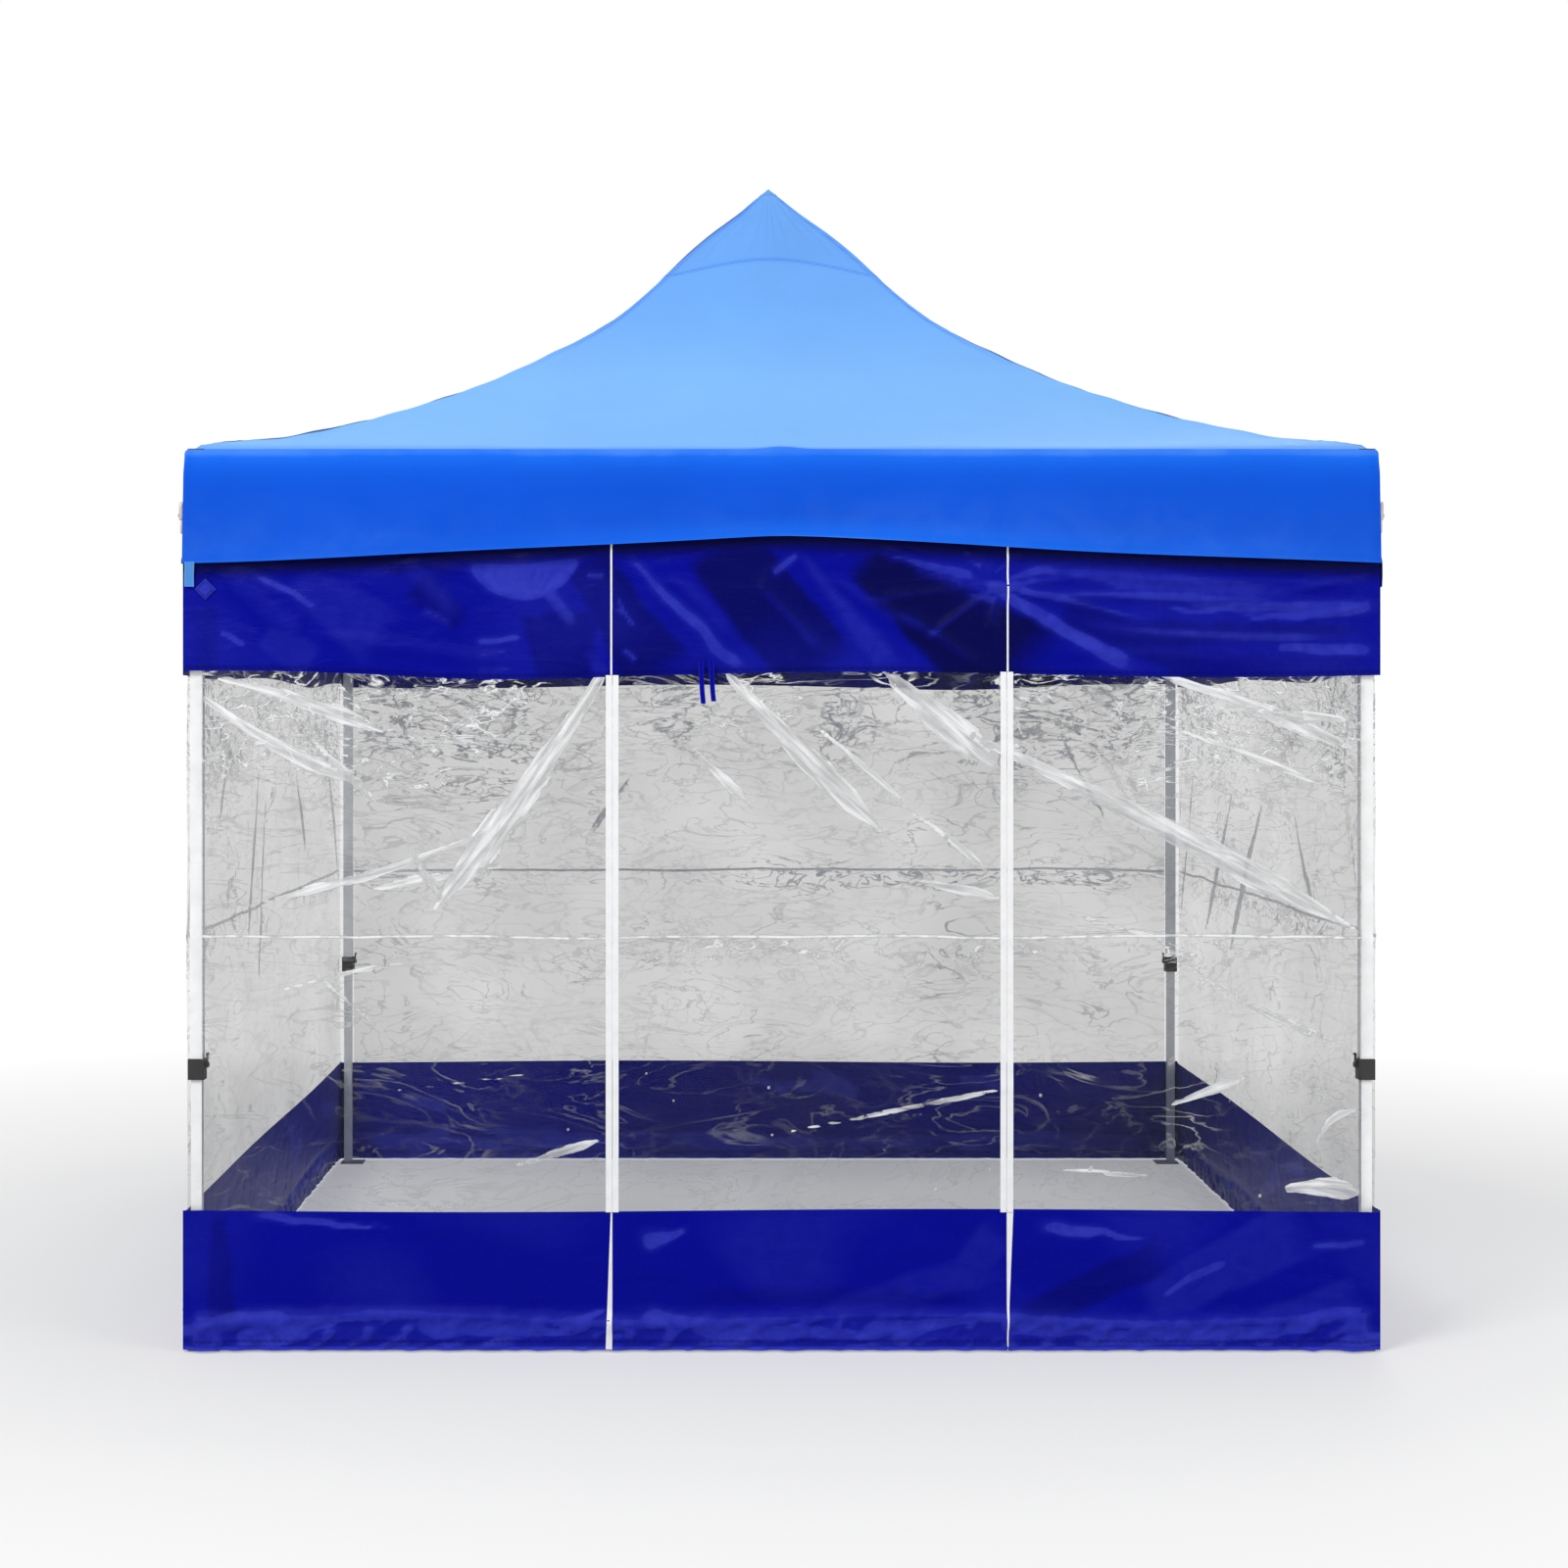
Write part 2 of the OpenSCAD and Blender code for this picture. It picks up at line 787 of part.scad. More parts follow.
zip_pull_right();
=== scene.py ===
import math
import bpy
import mathutils
import numpy as np
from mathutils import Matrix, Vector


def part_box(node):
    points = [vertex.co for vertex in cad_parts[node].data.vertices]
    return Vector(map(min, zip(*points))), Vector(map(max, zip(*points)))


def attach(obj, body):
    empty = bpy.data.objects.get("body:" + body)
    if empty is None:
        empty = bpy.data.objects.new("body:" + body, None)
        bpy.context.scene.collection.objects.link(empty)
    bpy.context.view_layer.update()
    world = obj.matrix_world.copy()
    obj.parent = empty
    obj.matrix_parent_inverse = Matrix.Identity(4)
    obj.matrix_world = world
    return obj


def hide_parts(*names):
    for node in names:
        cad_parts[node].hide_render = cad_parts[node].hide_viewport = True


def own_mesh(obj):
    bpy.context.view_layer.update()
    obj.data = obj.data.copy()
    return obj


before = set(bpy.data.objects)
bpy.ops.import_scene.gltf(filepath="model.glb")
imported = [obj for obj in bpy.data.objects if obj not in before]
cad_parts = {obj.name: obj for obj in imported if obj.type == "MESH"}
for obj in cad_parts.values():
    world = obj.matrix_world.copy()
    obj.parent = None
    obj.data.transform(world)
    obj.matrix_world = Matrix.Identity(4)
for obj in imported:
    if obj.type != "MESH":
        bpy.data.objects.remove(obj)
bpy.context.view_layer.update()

# ---------------------------------------------------------------- sizes in metres, the main ones from the frame
ROOF_LOW, ROOF_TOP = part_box("roof")
HALF, PEAK = ROOF_TOP[0], ROOF_TOP[2]    # half the width over the fabric, and its top
VALANCE_LOW, VALANCE_DROP = ROOF_LOW[2], 0.29
EAVE = VALANCE_LOW + VALANCE_DROP
WALL_LOW, WALL_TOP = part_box("front_wall")
WALL = -WALL_LOW[1]                      # outer face of the walls, from the middle
WALL_FOOT, WALL_HEAD = WALL_LOW[2], WALL_TOP[2]
DOOR_LOW, DOOR_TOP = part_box("door_panel")
DOOR_LEFT, DOOR_RIGHT, DOOR_HEAD = DOOR_LOW[0], DOOR_TOP[0], DOOR_TOP[2]
DOOR_GAP = 0.0003                        # from the door to the wall beside it
LEG_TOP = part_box("outer_leg_front_left")[1][2]
LEG_MIDDLE, LEG_FOLDED = 1.4728, 0.171   # from the middle to a leg's middle, open and folded
LEG_INSIDE = LEG_MIDDLE - 0.0165         # less half the leg's width
BRACKET_DEEP, LATCH_FOOT, LATCH_HEAD, FOOT_PLATE = 0.075, 0.6815, 0.7345, 0.0045  # fittings of the legs
WINDOW_HEAD, WINDOW_FOOT = 1.7, 0.355   # edges of the clear film
PACKING_CREASE = 1.043                   # height at which the windows were folded in their bag
CLOTH, TAPE, STRAP = 0.0012, 0.0007, 0.0014       # thicknesses
EDGE_ROUND = 0.014                       # radius of the turned top of the valance
CORNER_OUT = 0.005                       # how far the walls stand out where two of them meet
FRONT_CELL, OTHER_CELL = 0.0085, 0.0165  # spacing of the points over the walls
SIDES = ("front", "right", "back", "left")
OUTWARDS = np.array([0.0, -1.0, 0.0])    # from the front; turned(OUTWARDS, k) from side k


# ---------------------------------------------------------------- curves and folds
def ramp(x, low, high):
    """0 before low, 1 after high, and 3s^2 - 2s^3 between them, with s the share of the way."""
    s = np.clip((x - low) / (high - low), 0.0, 1.0)
    return s * s * (3.0 - 2.0 * s)


def fall(x, low, high):
    """One less the ramp: 1 before low and 0 after high."""
    return 1 - ramp(x, low, high)


def bell(x, width):
    """e to the power of minus the square of x over width: 1 at x = 0, fading to both sides."""
    return np.exp(-(x / width) ** 2)


def curve_through(x, at, value):
    """Smooth curve through the points (at, value): cubic Hermite pieces whose slope at each point is the mean of the
    slopes beside it."""
    at, value = np.asarray(at, float), np.asarray(value, float)
    slope = np.diff(value) / np.diff(at)
    mean = np.concatenate([[slope[0]], (slope[1:] + slope[:-1]) / 2, [slope[-1]]])
    k = np.clip(np.searchsorted(at, x, side="right") - 1, 0, len(at) - 2)
    h = at[k + 1] - at[k]
    s = (x - at[k]) / h
    return ((2 * s**3 - 3 * s**2 + 1) * value[k] + (s**3 - 2 * s**2 + s) * h * mean[k]
            + (3 * s**2 - 2 * s**3) * value[k + 1] + (s**3 - s**2) * h * mean[k + 1])


def from_line(x, z, ends, bend=0.0):
    """Place against the line from ends[0] to ends[1]: the share of the way along it, the distance off it less a bow
    4 bend s (1 - s) at share s, and the line's length."""
    (x0, z0), (x1, z1) = ends
    dx, dz = x1 - x0, z1 - z0
    length = math.hypot(dx, dz)
    along = ((x - x0) * dx + (z - z0) * dz) / length**2
    return along, ((z - z0) * dx - (x - x0) * dz) / length - bend * 4 * along * (1 - along), length


def folds(x, z, given):
    """Sum of long soft folds, each given by its ends, half width, height and bow: a bell across a bowed line, fading
    out at both ends."""
    total = 0.0
    for ends, width, height, *bend in given:
        along, across, _ = from_line(x, z, ends, *bend)
        total = total + height * bell(across, width) * (ramp(along, -0.08, 0.18) * fall(along, 0.75, 1.08))
    return total


def ripples(x, z, seed, length, height, count=9, sharp=0.0):
    """Sum of count plane waves in seeded directions, each of about the given length. sharp is the share of a creased
    wave, 1 less twice the size of a sine, in place of the plain sine."""
    rng = np.random.default_rng(seed)
    total = np.zeros(np.broadcast(x, z).shape)
    for _ in range(count):
        angle, phase = rng.uniform(0, math.pi), rng.uniform(0, 2 * math.pi)
        wave = length * rng.uniform(0.6, 1.7)
        s = np.sin(2 * math.pi * (x * math.cos(angle) + z * math.sin(angle)) / wave + phase)
        total += (1 - sharp) * s + sharp * (1 - 2 * np.abs(s))
    return height * total / math.sqrt(count)


def run_along(points):
    """Length of the path up to each of its points."""
    return np.concatenate([[0], np.cumsum(np.linalg.norm(np.diff(points, axis=0), axis=1))])


def grid_normals(points):
    """Unit normals of a grid of points, from the cross product of its two gradients."""
    normal = np.cross(np.gradient(points, axis=1), np.gradient(points, axis=0))
    return normal / np.maximum(np.linalg.norm(normal, axis=2, keepdims=True), 1e-12)


def turned(points, k):
    """The points turned about the upright axis by k quarter turns, from the front to the right, back and left."""
    c, s = (1, 0, -1, 0)[k % 4], (0, 1, 0, -1)[k % 4]
    x, y = points[..., 0], points[..., 1]
    return np.stack([c * x - s * y, s * x + c * y, points[..., 2]], axis=-1)


# ---------------------------------------------------------------- meshes
def put_object(name, data):
    """An object of this data, in the scene and at the origin."""
    thing = bpy.data.objects.new(name, data)
    bpy.context.scene.collection.objects.link(thing)
    return thing


def put_mesh(name, points, faces, finishes, pick=None, normals=None, cut=None, marks=()):
    """Smooth object with the given points and faces. cut is a flat place in metres for each point, kept as the UV map
    'cut'; marks are numbers for each point, kept as attributes; pick is the finish of each face."""
    mesh = bpy.data.meshes.new(name)
    mesh.from_pydata(points.reshape(-1, 3).tolist(), [], faces)
    for finish in finishes:
        mesh.materials.append(finish)
    if pick is not None:
        mesh.polygons.foreach_set("material_index", np.asarray(pick, np.int32))
    layer = mesh.uv_layers.new(name="cut")
    if cut is not None:
        loop_point = np.empty(len(mesh.loops), np.int32)
        mesh.loops.foreach_get("vertex_index", loop_point)
        layer.data.foreach_set("uv", cut[loop_point].astype(np.float32).ravel())
    for key, values in dict(marks).items():
        mesh.attributes.new(key, "FLOAT", "POINT").data.foreach_set("value", np.asarray(values, np.float32))
    mesh.polygons.foreach_set("use_smooth", np.ones(len(mesh.polygons), bool))
    mesh.update()
    if normals is not None:
        mesh.normals_split_custom_set_from_vertices(normals.tolist())
    return put_object(name, mesh)


def ring_quads(rows, n):
    """Numbers of the points on rows rings of n points, those of their next neighbours, and the quads between them."""
    k = np.arange(rows * n).reshape(rows, n)
    nxt = np.roll(k, -1, axis=1)
    return k, nxt, np.stack([k[:-1], nxt[:-1], nxt[1:], k[1:]], axis=-1).reshape(-1, 4)


def cloth_piece(name, points, out, thick, finishes, cut, row_finish=None, marks=(), normals=None, held=None):
    """Closed thin cloth: the grid is its outer face, the same grid moved by thick against its normals is its inner
    face, and a strip of quads closes the rim wherever a kept cell has no kept neighbour. out is a direction that the
    outer face looks to, row_finish the finish of each row of cells, and held says which cells of the grid there are.
    The marks seam, hem, painted_light and turn, the last a painted shade, are 0 where they aren't given."""
    rows, cols = points.shape[:2]
    n, cells = rows * cols, (rows - 1, cols - 1)
    own = grid_normals(points)
    if normals is None:
        normals = own if (own * out).sum() > 0 else -own
    held = np.ones(cells, bool) if held is None else held
    finish_of = np.zeros(cells, int) if row_finish is None else np.repeat(row_finish[:, None], cols - 1, axis=1)
    k = np.arange(n).reshape(rows, cols)
    quads = np.stack([k[:-1, :-1], k[:-1, 1:], k[1:, 1:], k[1:, :-1]], axis=-1)
    face, around = quads[held], np.pad(held, 1)
    rims, picks = [], [finish_of[held], finish_of[held]]
    # neighbours above, right, below and left; with each a cell shares the edge from its corner p to the next one
    for p, (dr, dc) in enumerate(((-1, 0), (0, 1), (1, 0), (0, -1))):
        bare = held & ~around[1 + dr:rows + dr, 1 + dc:cols + dc]
        first, second = quads[bare][:, p], quads[bare][:, (p + 1) % 4]
        rims.append(np.stack([second, first, first + n, second + n], axis=-1))
        picks.append(finish_of[bare])
    rim = np.concatenate(rims)
    if (own * normals).sum() > 0:
        faces = np.concatenate([face, face[:, ::-1] + n, rim])
    else:
        faces = np.concatenate([face[:, ::-1], face + n, rim[:, ::-1]])
    used = np.unique(faces)
    new_place = np.zeros(2 * n, int)
    new_place[used] = np.arange(len(used))
    both = np.concatenate([points.reshape(-1, 3), (points - thick * normals).reshape(-1, 3)])[used]
    both_normals = np.concatenate([normals.reshape(-1, 3), -normals.reshape(-1, 3)])[used]
    marks = {**dict.fromkeys(("seam", "hem", "painted_light", "turn"), np.zeros((rows, cols))), **dict(marks)}
    two = {key: np.tile(values.ravel(), 2)[used] for key, values in marks.items()}
    return put_mesh(name, both, new_place[faces].tolist(), finishes, np.concatenate(picks), both_normals,
                    np.tile(cut.reshape(-1, 2), (2, 1))[used], two)


def declare(piece, body, slot, replaced=None, across=0, **sheet):
    """Puts the piece on the body it rides on, hides the node it replaces and gives it a mesh of its own.
    slot, across and the flat cloth in sheet are not used."""
    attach(piece, body)
    if replaced:
        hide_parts(replaced)
    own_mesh(piece)


# ---------------------------------------------------------------- finishes
def finish(name, colour, rough, **fixed):
    """A material with its fixed numbers on the shader, given back with its tree and shader."""
    mat = bpy.data.materials.new(name)
    mat.use_nodes = True
    shader = mat.node_tree.nodes["Principled BSDF"]
    for key, value in {"Base Color": (*colour, 1), "Roughness": rough, **fixed}.items():
        shader.inputs[key.replace("_", " ")].default_value = value
    return mat, mat.node_tree, shader


def link(tree, shader, **values):
    """Each value on the shader's input of that name."""
    for key, value in values.items():
        tree.links.new(value, shader.inputs[key.replace("_", " ")])


def node(tree, kind, inputs=(), **settings):
    """A node with its settings, whose inputs are sockets to link or numbers to set. Gives back its first output."""
    made = tree.nodes.new(kind)
    for key, value in settings.items():
        setattr(made, key, value)
    for key, value in dict(inputs).items():
        if isinstance(value, bpy.types.NodeSocket):
            tree.links.new(value, made.inputs[key])
        else:
            made.inputs[key].default_value = value
    return made.outputs[0]


def sums(tree, how, total, *others):
    """Arithmetic, one node for each step: the first number with the second, the result with the third, and so on."""
    for other in others:
        total = node(tree, "ShaderNodeMath", {0: total, 1: other}, operation=how)
    return total


def times(tree, *values):
    """The product of the numbers."""
    return sums(tree, "MULTIPLY", *values)


def apart(tree, a, b):
    """How far two numbers are apart."""
    return node(tree, "ShaderNodeMath", {0: sums(tree, "SUBTRACT", a, b)}, operation="ABSOLUTE")


def spread(tree, value, low, high, to_low=0.0, to_high=1.0):
    """A number moved from the range low to high onto the range to_low to to_high, and held inside it."""
    ends = {"From Min": low, "From Max": high, "To Min": to_low, "To Max": to_high}
    return node(tree, "ShaderNodeMapRange", {"Value": value, **ends})


def blend_colours(tree, share, first, second):
    """first and second mixed by share."""
    four = [value if isinstance(value, bpy.types.NodeSocket) else (*value, 1) for value in (first, second)]
    return node(tree, "ShaderNodeMix", {0: share, 6: four[0], 7: four[1]}, data_type="RGBA").node.outputs[2]


def mark(tree, name):
    """The number kept on the points under this name."""
    return node(tree, "ShaderNodeAttribute", attribute_name=name).node.outputs["Fac"]


def cut_place(tree, turn=0.0, size=(1, 1, 1)):
    """Flat place on the cloth in metres, turned and stretched."""
    uv = node(tree, "ShaderNodeUVMap", uv_map="cut")
    return node(tree, "ShaderNodeMapping", {"Vector": uv, "Rotation": (0, 0, turn), "Scale": size})


def object_place(tree, size=(1, 1, 1)):
    """Place on the object in metres, stretched."""
    coord = tree.nodes.new("ShaderNodeTexCoord")
    return node(tree, "ShaderNodeMapping", {"Vector": coord.outputs["Object"], "Scale": size})


def noise(tree, place, scale, detail=3.0, twist=0.0):
    """Cloudy noise between 0 and 1."""
    return node(tree, "ShaderNodeTexNoise", {"Vector": place, "Scale": scale, "Detail": detail, "Distortion": twist})


def waves(tree, place, scale, way, **more):
    """Bands of waves across the direction way."""
    return node(tree, "ShaderNodeTexWave", {"Vector": place, "Scale": scale, **more}, bands_direction=way)


def bumps(tree, shader, *parts):
    """Bump on the shader from pairs of a height between 0 and 1 and its depth in metres."""
    height = sums(tree, "ADD", *[times(tree, height, depth) for height, depth in parts])
    link(tree, shader, Normal=node(tree, "ShaderNodeBump", {"Strength": 1.0, "Distance": 1.0, "Height": height}))


def crease_net(tree, place, scale, width, twist):
    """Thin winding creases: where cloudy noise is within width of its middle value."""
    return spread(tree, apart(tree, noise(tree, place, scale, 4.0, twist), 0.5), 0.0, width, 1.0, 0.0)


def woven(name, first, rough, gloss, colour, pale, dark, weave=0.00022, wrinkle=0.0016, crumple=6.0, creased=0.0,
          even=0.25, halfway=None, crisp=0.0):
    """Woven coated cloth: a plain weave and soft crumples in its bump, cloudy fading, paler hems, partly painted
    highlight on the valance, darker stitched seams, painted light on its folds as strong as creased, and painted shade
    from turn."""
    mat, tree, shader = finish(name, first, rough, Specular_IOR_Level=gloss)
    place = cut_place(tree)
    warp, weft = (waves(tree, place, 210.0, way, Distortion=0.6, Detail=1.0) for way in "XY")
    crumpled = noise(tree, place, crumple, 5.0, 1.2)
    slanted = noise(tree, cut_place(tree, 0.6, (1.0, 3.2, 1.0)), crumple * 0.5, 4.0, 0.8)
    bumps(tree, shader, (warp, weave), (weft, weave), (crumpled, wrinkle), (slanted, wrinkle * 1.6))
    cloud = spread(tree, noise(tree, place, 2.3, 4.0, 0.4), 0.3, 0.75)
    base = blend_colours(tree, cloud, colour, tuple(c * 0.88 for c in colour))
    broken = spread(tree, noise(tree, place, crumple * 1.7, 4.0, 1.5), 0.3, 0.62, even, 1.0)
    painted_light = mark(tree, "painted_light")
    painted_light = sums(tree, "ADD", times(tree, painted_light, 1.0 - crisp), spread(tree, painted_light, 0.34, 0.46, 0.0, crisp))
    lit = blend_colours(tree, times(tree, painted_light, broken, creased), base, pale)
    hem = times(tree, mark(tree, "hem"), spread(tree, crumpled, 0.3, 0.6, 0.82, 1.0))
    halfway = halfway or tuple(0.55 * c + 0.45 * p for c, p in zip(colour, pale))
    hem_and_highlight = blend_colours(tree, spread(tree, hem, 0.0, 0.5), lit, halfway)
    hem_and_highlight = blend_colours(tree, spread(tree, hem, 0.5, 1.0), hem_and_highlight, pale)
    stitch = spread(tree, waves(tree, place, 36.0, "DIAGONAL"), 0.2, 0.6, 0.55, 1.0)
    done = blend_colours(tree, times(tree, stitch, mark(tree, "seam"), 0.6), hem_and_highlight, dark)
    # painted shade where the mark turn is given
    link(tree, shader, Base_Color=blend_colours(tree, mark(tree, "turn"), done, dark))
    return mat


def mottled(name, colour, rough, cloud, ends, pair, gloss=None, grain=None, size=(1, 1, 1), **fixed):
    """Painted, moulded or drawn surface: the pair of colours mixed by cloudy noise spread between ends, with the
    roughness from a second noise and a fine bump from a third."""
    mat, tree, shader = finish(name, colour, rough, **fixed)
    place = object_place(tree, size)
    share = noise(tree, place, *cloud)
    link(tree, shader, Base_Color=blend_colours(tree, spread(tree, share, *ends) if ends else share, *pair))
    if gloss:
        link(tree, shader, Roughness=spread(tree, noise(tree, place, *gloss[0]), 0.3, 0.7, *gloss[1]))
    if grain:
        bumps(tree, shader, (noise(tree, place, *grain[0]), grain[1]))
    return mat


def two_finishes_by_height(name, inside, outside, *bands):
    """A finish that is inside's colour and roughness where the height is in one of the bands, and outside's
    elsewhere."""
    mat, tree, shader = finish(name, *outside)
    place = object_place(tree)
    coord = tree.nodes.new("ShaderNodeTexCoord")
    z = node(tree, "ShaderNodeSeparateXYZ", {0: coord.outputs["Object"]}).node.outputs[2]
    within = sums(tree, "MAXIMUM", *[
        times(tree, sums(tree, "GREATER_THAN", z, low), sums(tree, "LESS_THAN", z, high)) for low, high in bands])
    cloud = spread(tree, noise(tree, place, 18.0, 4.0), 0.35, 0.75)
    near, far = (blend_colours(tree, cloud, colour, tuple(c * faded for c in colour))
                 for colour, faded in ((inside[0], 0.8), (outside[0], 0.88)))
    link(tree, shader, Base_Color=blend_colours(tree, within, far, near),
         Roughness=spread(tree, within, 0.0, 1.0, outside[1], inside[1]))
    bumps(tree, shader, (noise(tree, place, 300.0, 2.0), 0.00012))
    return mat


ROYAL = (0.0012, 0.09, 0.74)
ROOF_BLUE = woven("roof_cloth_sky_blue", (0.16, 0.42, 0.95), 0.65, 0.12, (0.165, 0.425, 0.95), (0.25, 0.55, 0.98),
                  (0.03, 0.16, 0.76), wrinkle=0.0004, crumple=3.0, creased=0.6, even=0.9)
VALANCE_BLUE = woven("valance_cloth_royal_blue", ROYAL, 0.6, 0.07, ROYAL, (0.15, 0.41, 0.95), (0.0008, 0.05, 0.5),
                     wrinkle=0.001, crumple=4.0, creased=0.1, halfway=(0.008, 0.155, 0.9))
TAB_BLUE = woven("tab_webbing_light_blue", (0.1, 0.33, 0.85), 0.6, 0.1, (0.09, 0.32, 0.84), (0.3, 0.5, 0.9),
                 (0.02, 0.1, 0.5), weave=0.0004, wrinkle=0.0008, crumple=12.0)
WALL_NAVY = woven("wall_cloth_glossy_navy", (0.0008, 0.0025, 0.27), 0.3, 0.045, (0.0006, 0.0024, 0.29),
                  (0.036, 0.048, 0.5), (0.0003, 0.0006, 0.035), weave=0.0001, wrinkle=0.004, crumple=9.0,
                  creased=0.9, even=0.6, crisp=0.4)

FILM, t, s = finish("window_film_clear", (0.5, 0.5, 0.48), 0.1, Specular_IOR_Level=0.2)
place = cut_place(t)
slant, slant_back = cut_place(t, -0.7, (1.0, 2.6, 1.0)), cut_place(t, 0.6, (1.0, 3.0, 1.0))
crumple = mark(t, "crumple")
region, fine = noise(t, place, 2.3, 3.0), noise(t, place, 24.0, 5.0, 0.6)
strokes = times(t, crease_net(t, slant, 2.6, 0.024, 2.2), spread(t, region, 0.42, 0.66))
strokes_back = times(t, crease_net(t, slant_back, 2.2, 0.02, 2.8), spread(t, region, 0.56, 0.36))
dense = times(t, crease_net(t, slant, 3.8, 0.042, 2.4), spread(t, fine, 0.42, 0.54), spread(t, crumple, 0.7, 0.95))
# the pulls carry painted sheen in ribbons of fine strands: streaks along each ribbon shade it and fray its bright
# edges
ribbon = node(t, "ShaderNodeCombineXYZ", {0: mark(t, "off_line"), 1: times(t, mark(t, "down_line"), 0.1)})
strands = sums(t, "SUBTRACT", noise(t, ribbon, 75.0, 4.0, 0.3), 0.5)
frayed = sums(t, "ADD", times(t, strands, 0.42), times(t, sums(t, "SUBTRACT", fine, 0.5), 0.22), mark(t, "sheen"))
inner = times(t, spread(t, frayed, 0.5, 0.56), spread(t, strands, -0.14, 0.14, 0.5, 0.98))
rim = times(t, spread(t, apart(t, frayed, 0.56), 0.0, 0.05, 0.95, 0.0), spread(t, fine, 0.42, 0.52))
# painted sheen along the straight crease from packing, at one height all round but for a slight wander
height = node(t, "ShaderNodeSeparateXYZ", {0: place}).node.outputs[1]
packed = apart(t, sums(t, "ADD", height, times(t, region, 0.03)), PACKING_CREASE + 0.015)
packed = times(t, spread(t, packed, 0.0018, 0.0052, 1.0, 0.0), spread(t, fine, 0.36, 0.52, 0.6, 1.0))
net = times(t, sums(t, "MAXIMUM", strokes, strokes_back), crumple)
# painted sheen: the white of the pulls, the packing crease and the crinkles stands in for reflections on the film
white = sums(t, "MAXIMUM", inner, rim, packed, net, dense)
haze = spread(t, region, 0.3, 0.7, 0.0, 0.07)
link(t, s, Base_Color=blend_colours(t, white, (0.05, 0.053, 0.045), (0.95, 0.96, 0.97)),
     Alpha=sums(t, "ADD", 0.09, haze, times(t, white, 0.66)))
bumps(t, s, (noise(t, slant, 7.0, 4.0, 1.4), 0.003), (strands, 0.0015))

ZIP_WHITE, t, s = finish("zip_tape_white", (0.78, 0.79, 0.8), 0.6)
place = cut_place(t)
cloud = spread(t, noise(t, place, 30.0, 3.0), 0.3, 0.7, 0.0, 0.5)
link(t, s, Base_Color=blend_colours(t, cloud, (0.9, 0.905, 0.915), (0.78, 0.79, 0.82)))
bumps(t, s, (waves(t, place, 130.0, "Y", Distortion=0.3), 0.0003), (noise(t, place, 12.0), 0.001))

PAINT = mottled("frame_paint_white", (0.8, 0.8, 0.8), 0.35, (14.0, 5.0), (0.35, 0.75, 0.0, 0.6),
                ((0.86, 0.865, 0.87), (0.74, 0.75, 0.76)), ((60.0, 2.0), (0.28, 0.42)), ((260.0, 2.0), 0.00012),
                Specular_IOR_Level=0.5)
BLACK = mottled("fitting_plastic_black", (0.012, 0.012, 0.013), 0.5, (40.0, 4.0), (0.45, 0.8),
                ((0.011, 0.011, 0.012), (0.035, 0.035, 0.037)), ((90.0, 2.0), (0.42, 0.6)), ((700.0, 2.0), 0.0002))
METAL = mottled("mast_aluminium_drawn", (0.7, 0.71, 0.72), 0.3, (2.0, 3.0), None,
                ((0.62, 0.63, 0.65), (0.78, 0.79, 0.8)), ((4.0, 3.0), (0.22, 0.42)), size=(60, 60, 2), Metallic=1.0)
CREAM = mottled("buckle_plastic_cream", (0.78, 0.72, 0.6), 0.45, (35.0, 3.0), (0.35, 0.7),
                ((0.8, 0.74, 0.62), (0.66, 0.58, 0.46)), grain=((400.0,), 0.0002))
LEG_WHITE = ((0.9, 0.905, 0.91), 0.34)
OUTER_LEG = two_finishes_by_height("leg_paint_white_black_fittings", ((0.014, 0.014, 0.015), 0.5), LEG_WHITE,
                                   (LEG_TOP - BRACKET_DEEP, 3.0), (LATCH_FOOT, LATCH_HEAD))
INNER_LEG = two_finishes_by_height("leg_paint_white_steel_foot", ((0.45, 0.46, 0.47), 0.38), LEG_WHITE,
                                   (-1.0, FOOT_PLATE))

# ---------------------------------------------------------------- the frame's own nodes
LOOKS = (("outer_leg", OUTER_LEG), ("inner_leg", INNER_LEG), ("mast", METAL), ("_arm_", PAINT), ("_bar_", PAINT))
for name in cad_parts:
    if "wall" in name or name in ("roof", "door_panel") or name.startswith("zip_pull"):
        continue
    mesh = bpy.data.objects[name].data
    mesh.materials.clear()
    mesh.materials.append(next((look for key, look in LOOKS if key in name), BLACK))

# ---------------------------------------------------------------- roof
SHARE_AT = (0, 0.04, 0.08, 0.12, 0.21, 0.295, 0.43, 0.54, 0.7, 0.86, 1)
SHARE = (1, 0.945, 0.88, 0.815, 0.655, 0.515, 0.358, 0.253, 0.134, 0.046, 0)
PLEATS, STEPS = 16, 6                    # strips to a side, and cells across each


def roof_height(t, u):
    """Height of the roof cloth: the eave plus the rise times a curve through the shares of it, less a shallow sag of
    each quarter between its hips."""
    return EAVE + (PEAK - EAVE) * curve_through(t, SHARE_AT, SHARE) - 0.014 * 4 * t * (1 - t) * (1 - u * u)


def tip_dent(r):
    """How far the cloth dips at the distance r from the tip."""
    return 0.008 * bell(r, 0.022)


def patch_edge(u):
    """Where the edge of the doubled peak patch lies, as a share of the way from the peak to the eave."""
    return 0.172 + 0.042 * u * u


def to_hip(t, u):
    """Level distance to the nearer hip."""
    return (1 - np.abs(u)) * t * HALF


def eave_pad(x):
    """Rise of the cloth over the pad in the middle of each side."""
    return 0.006 * bell(x, 0.05)


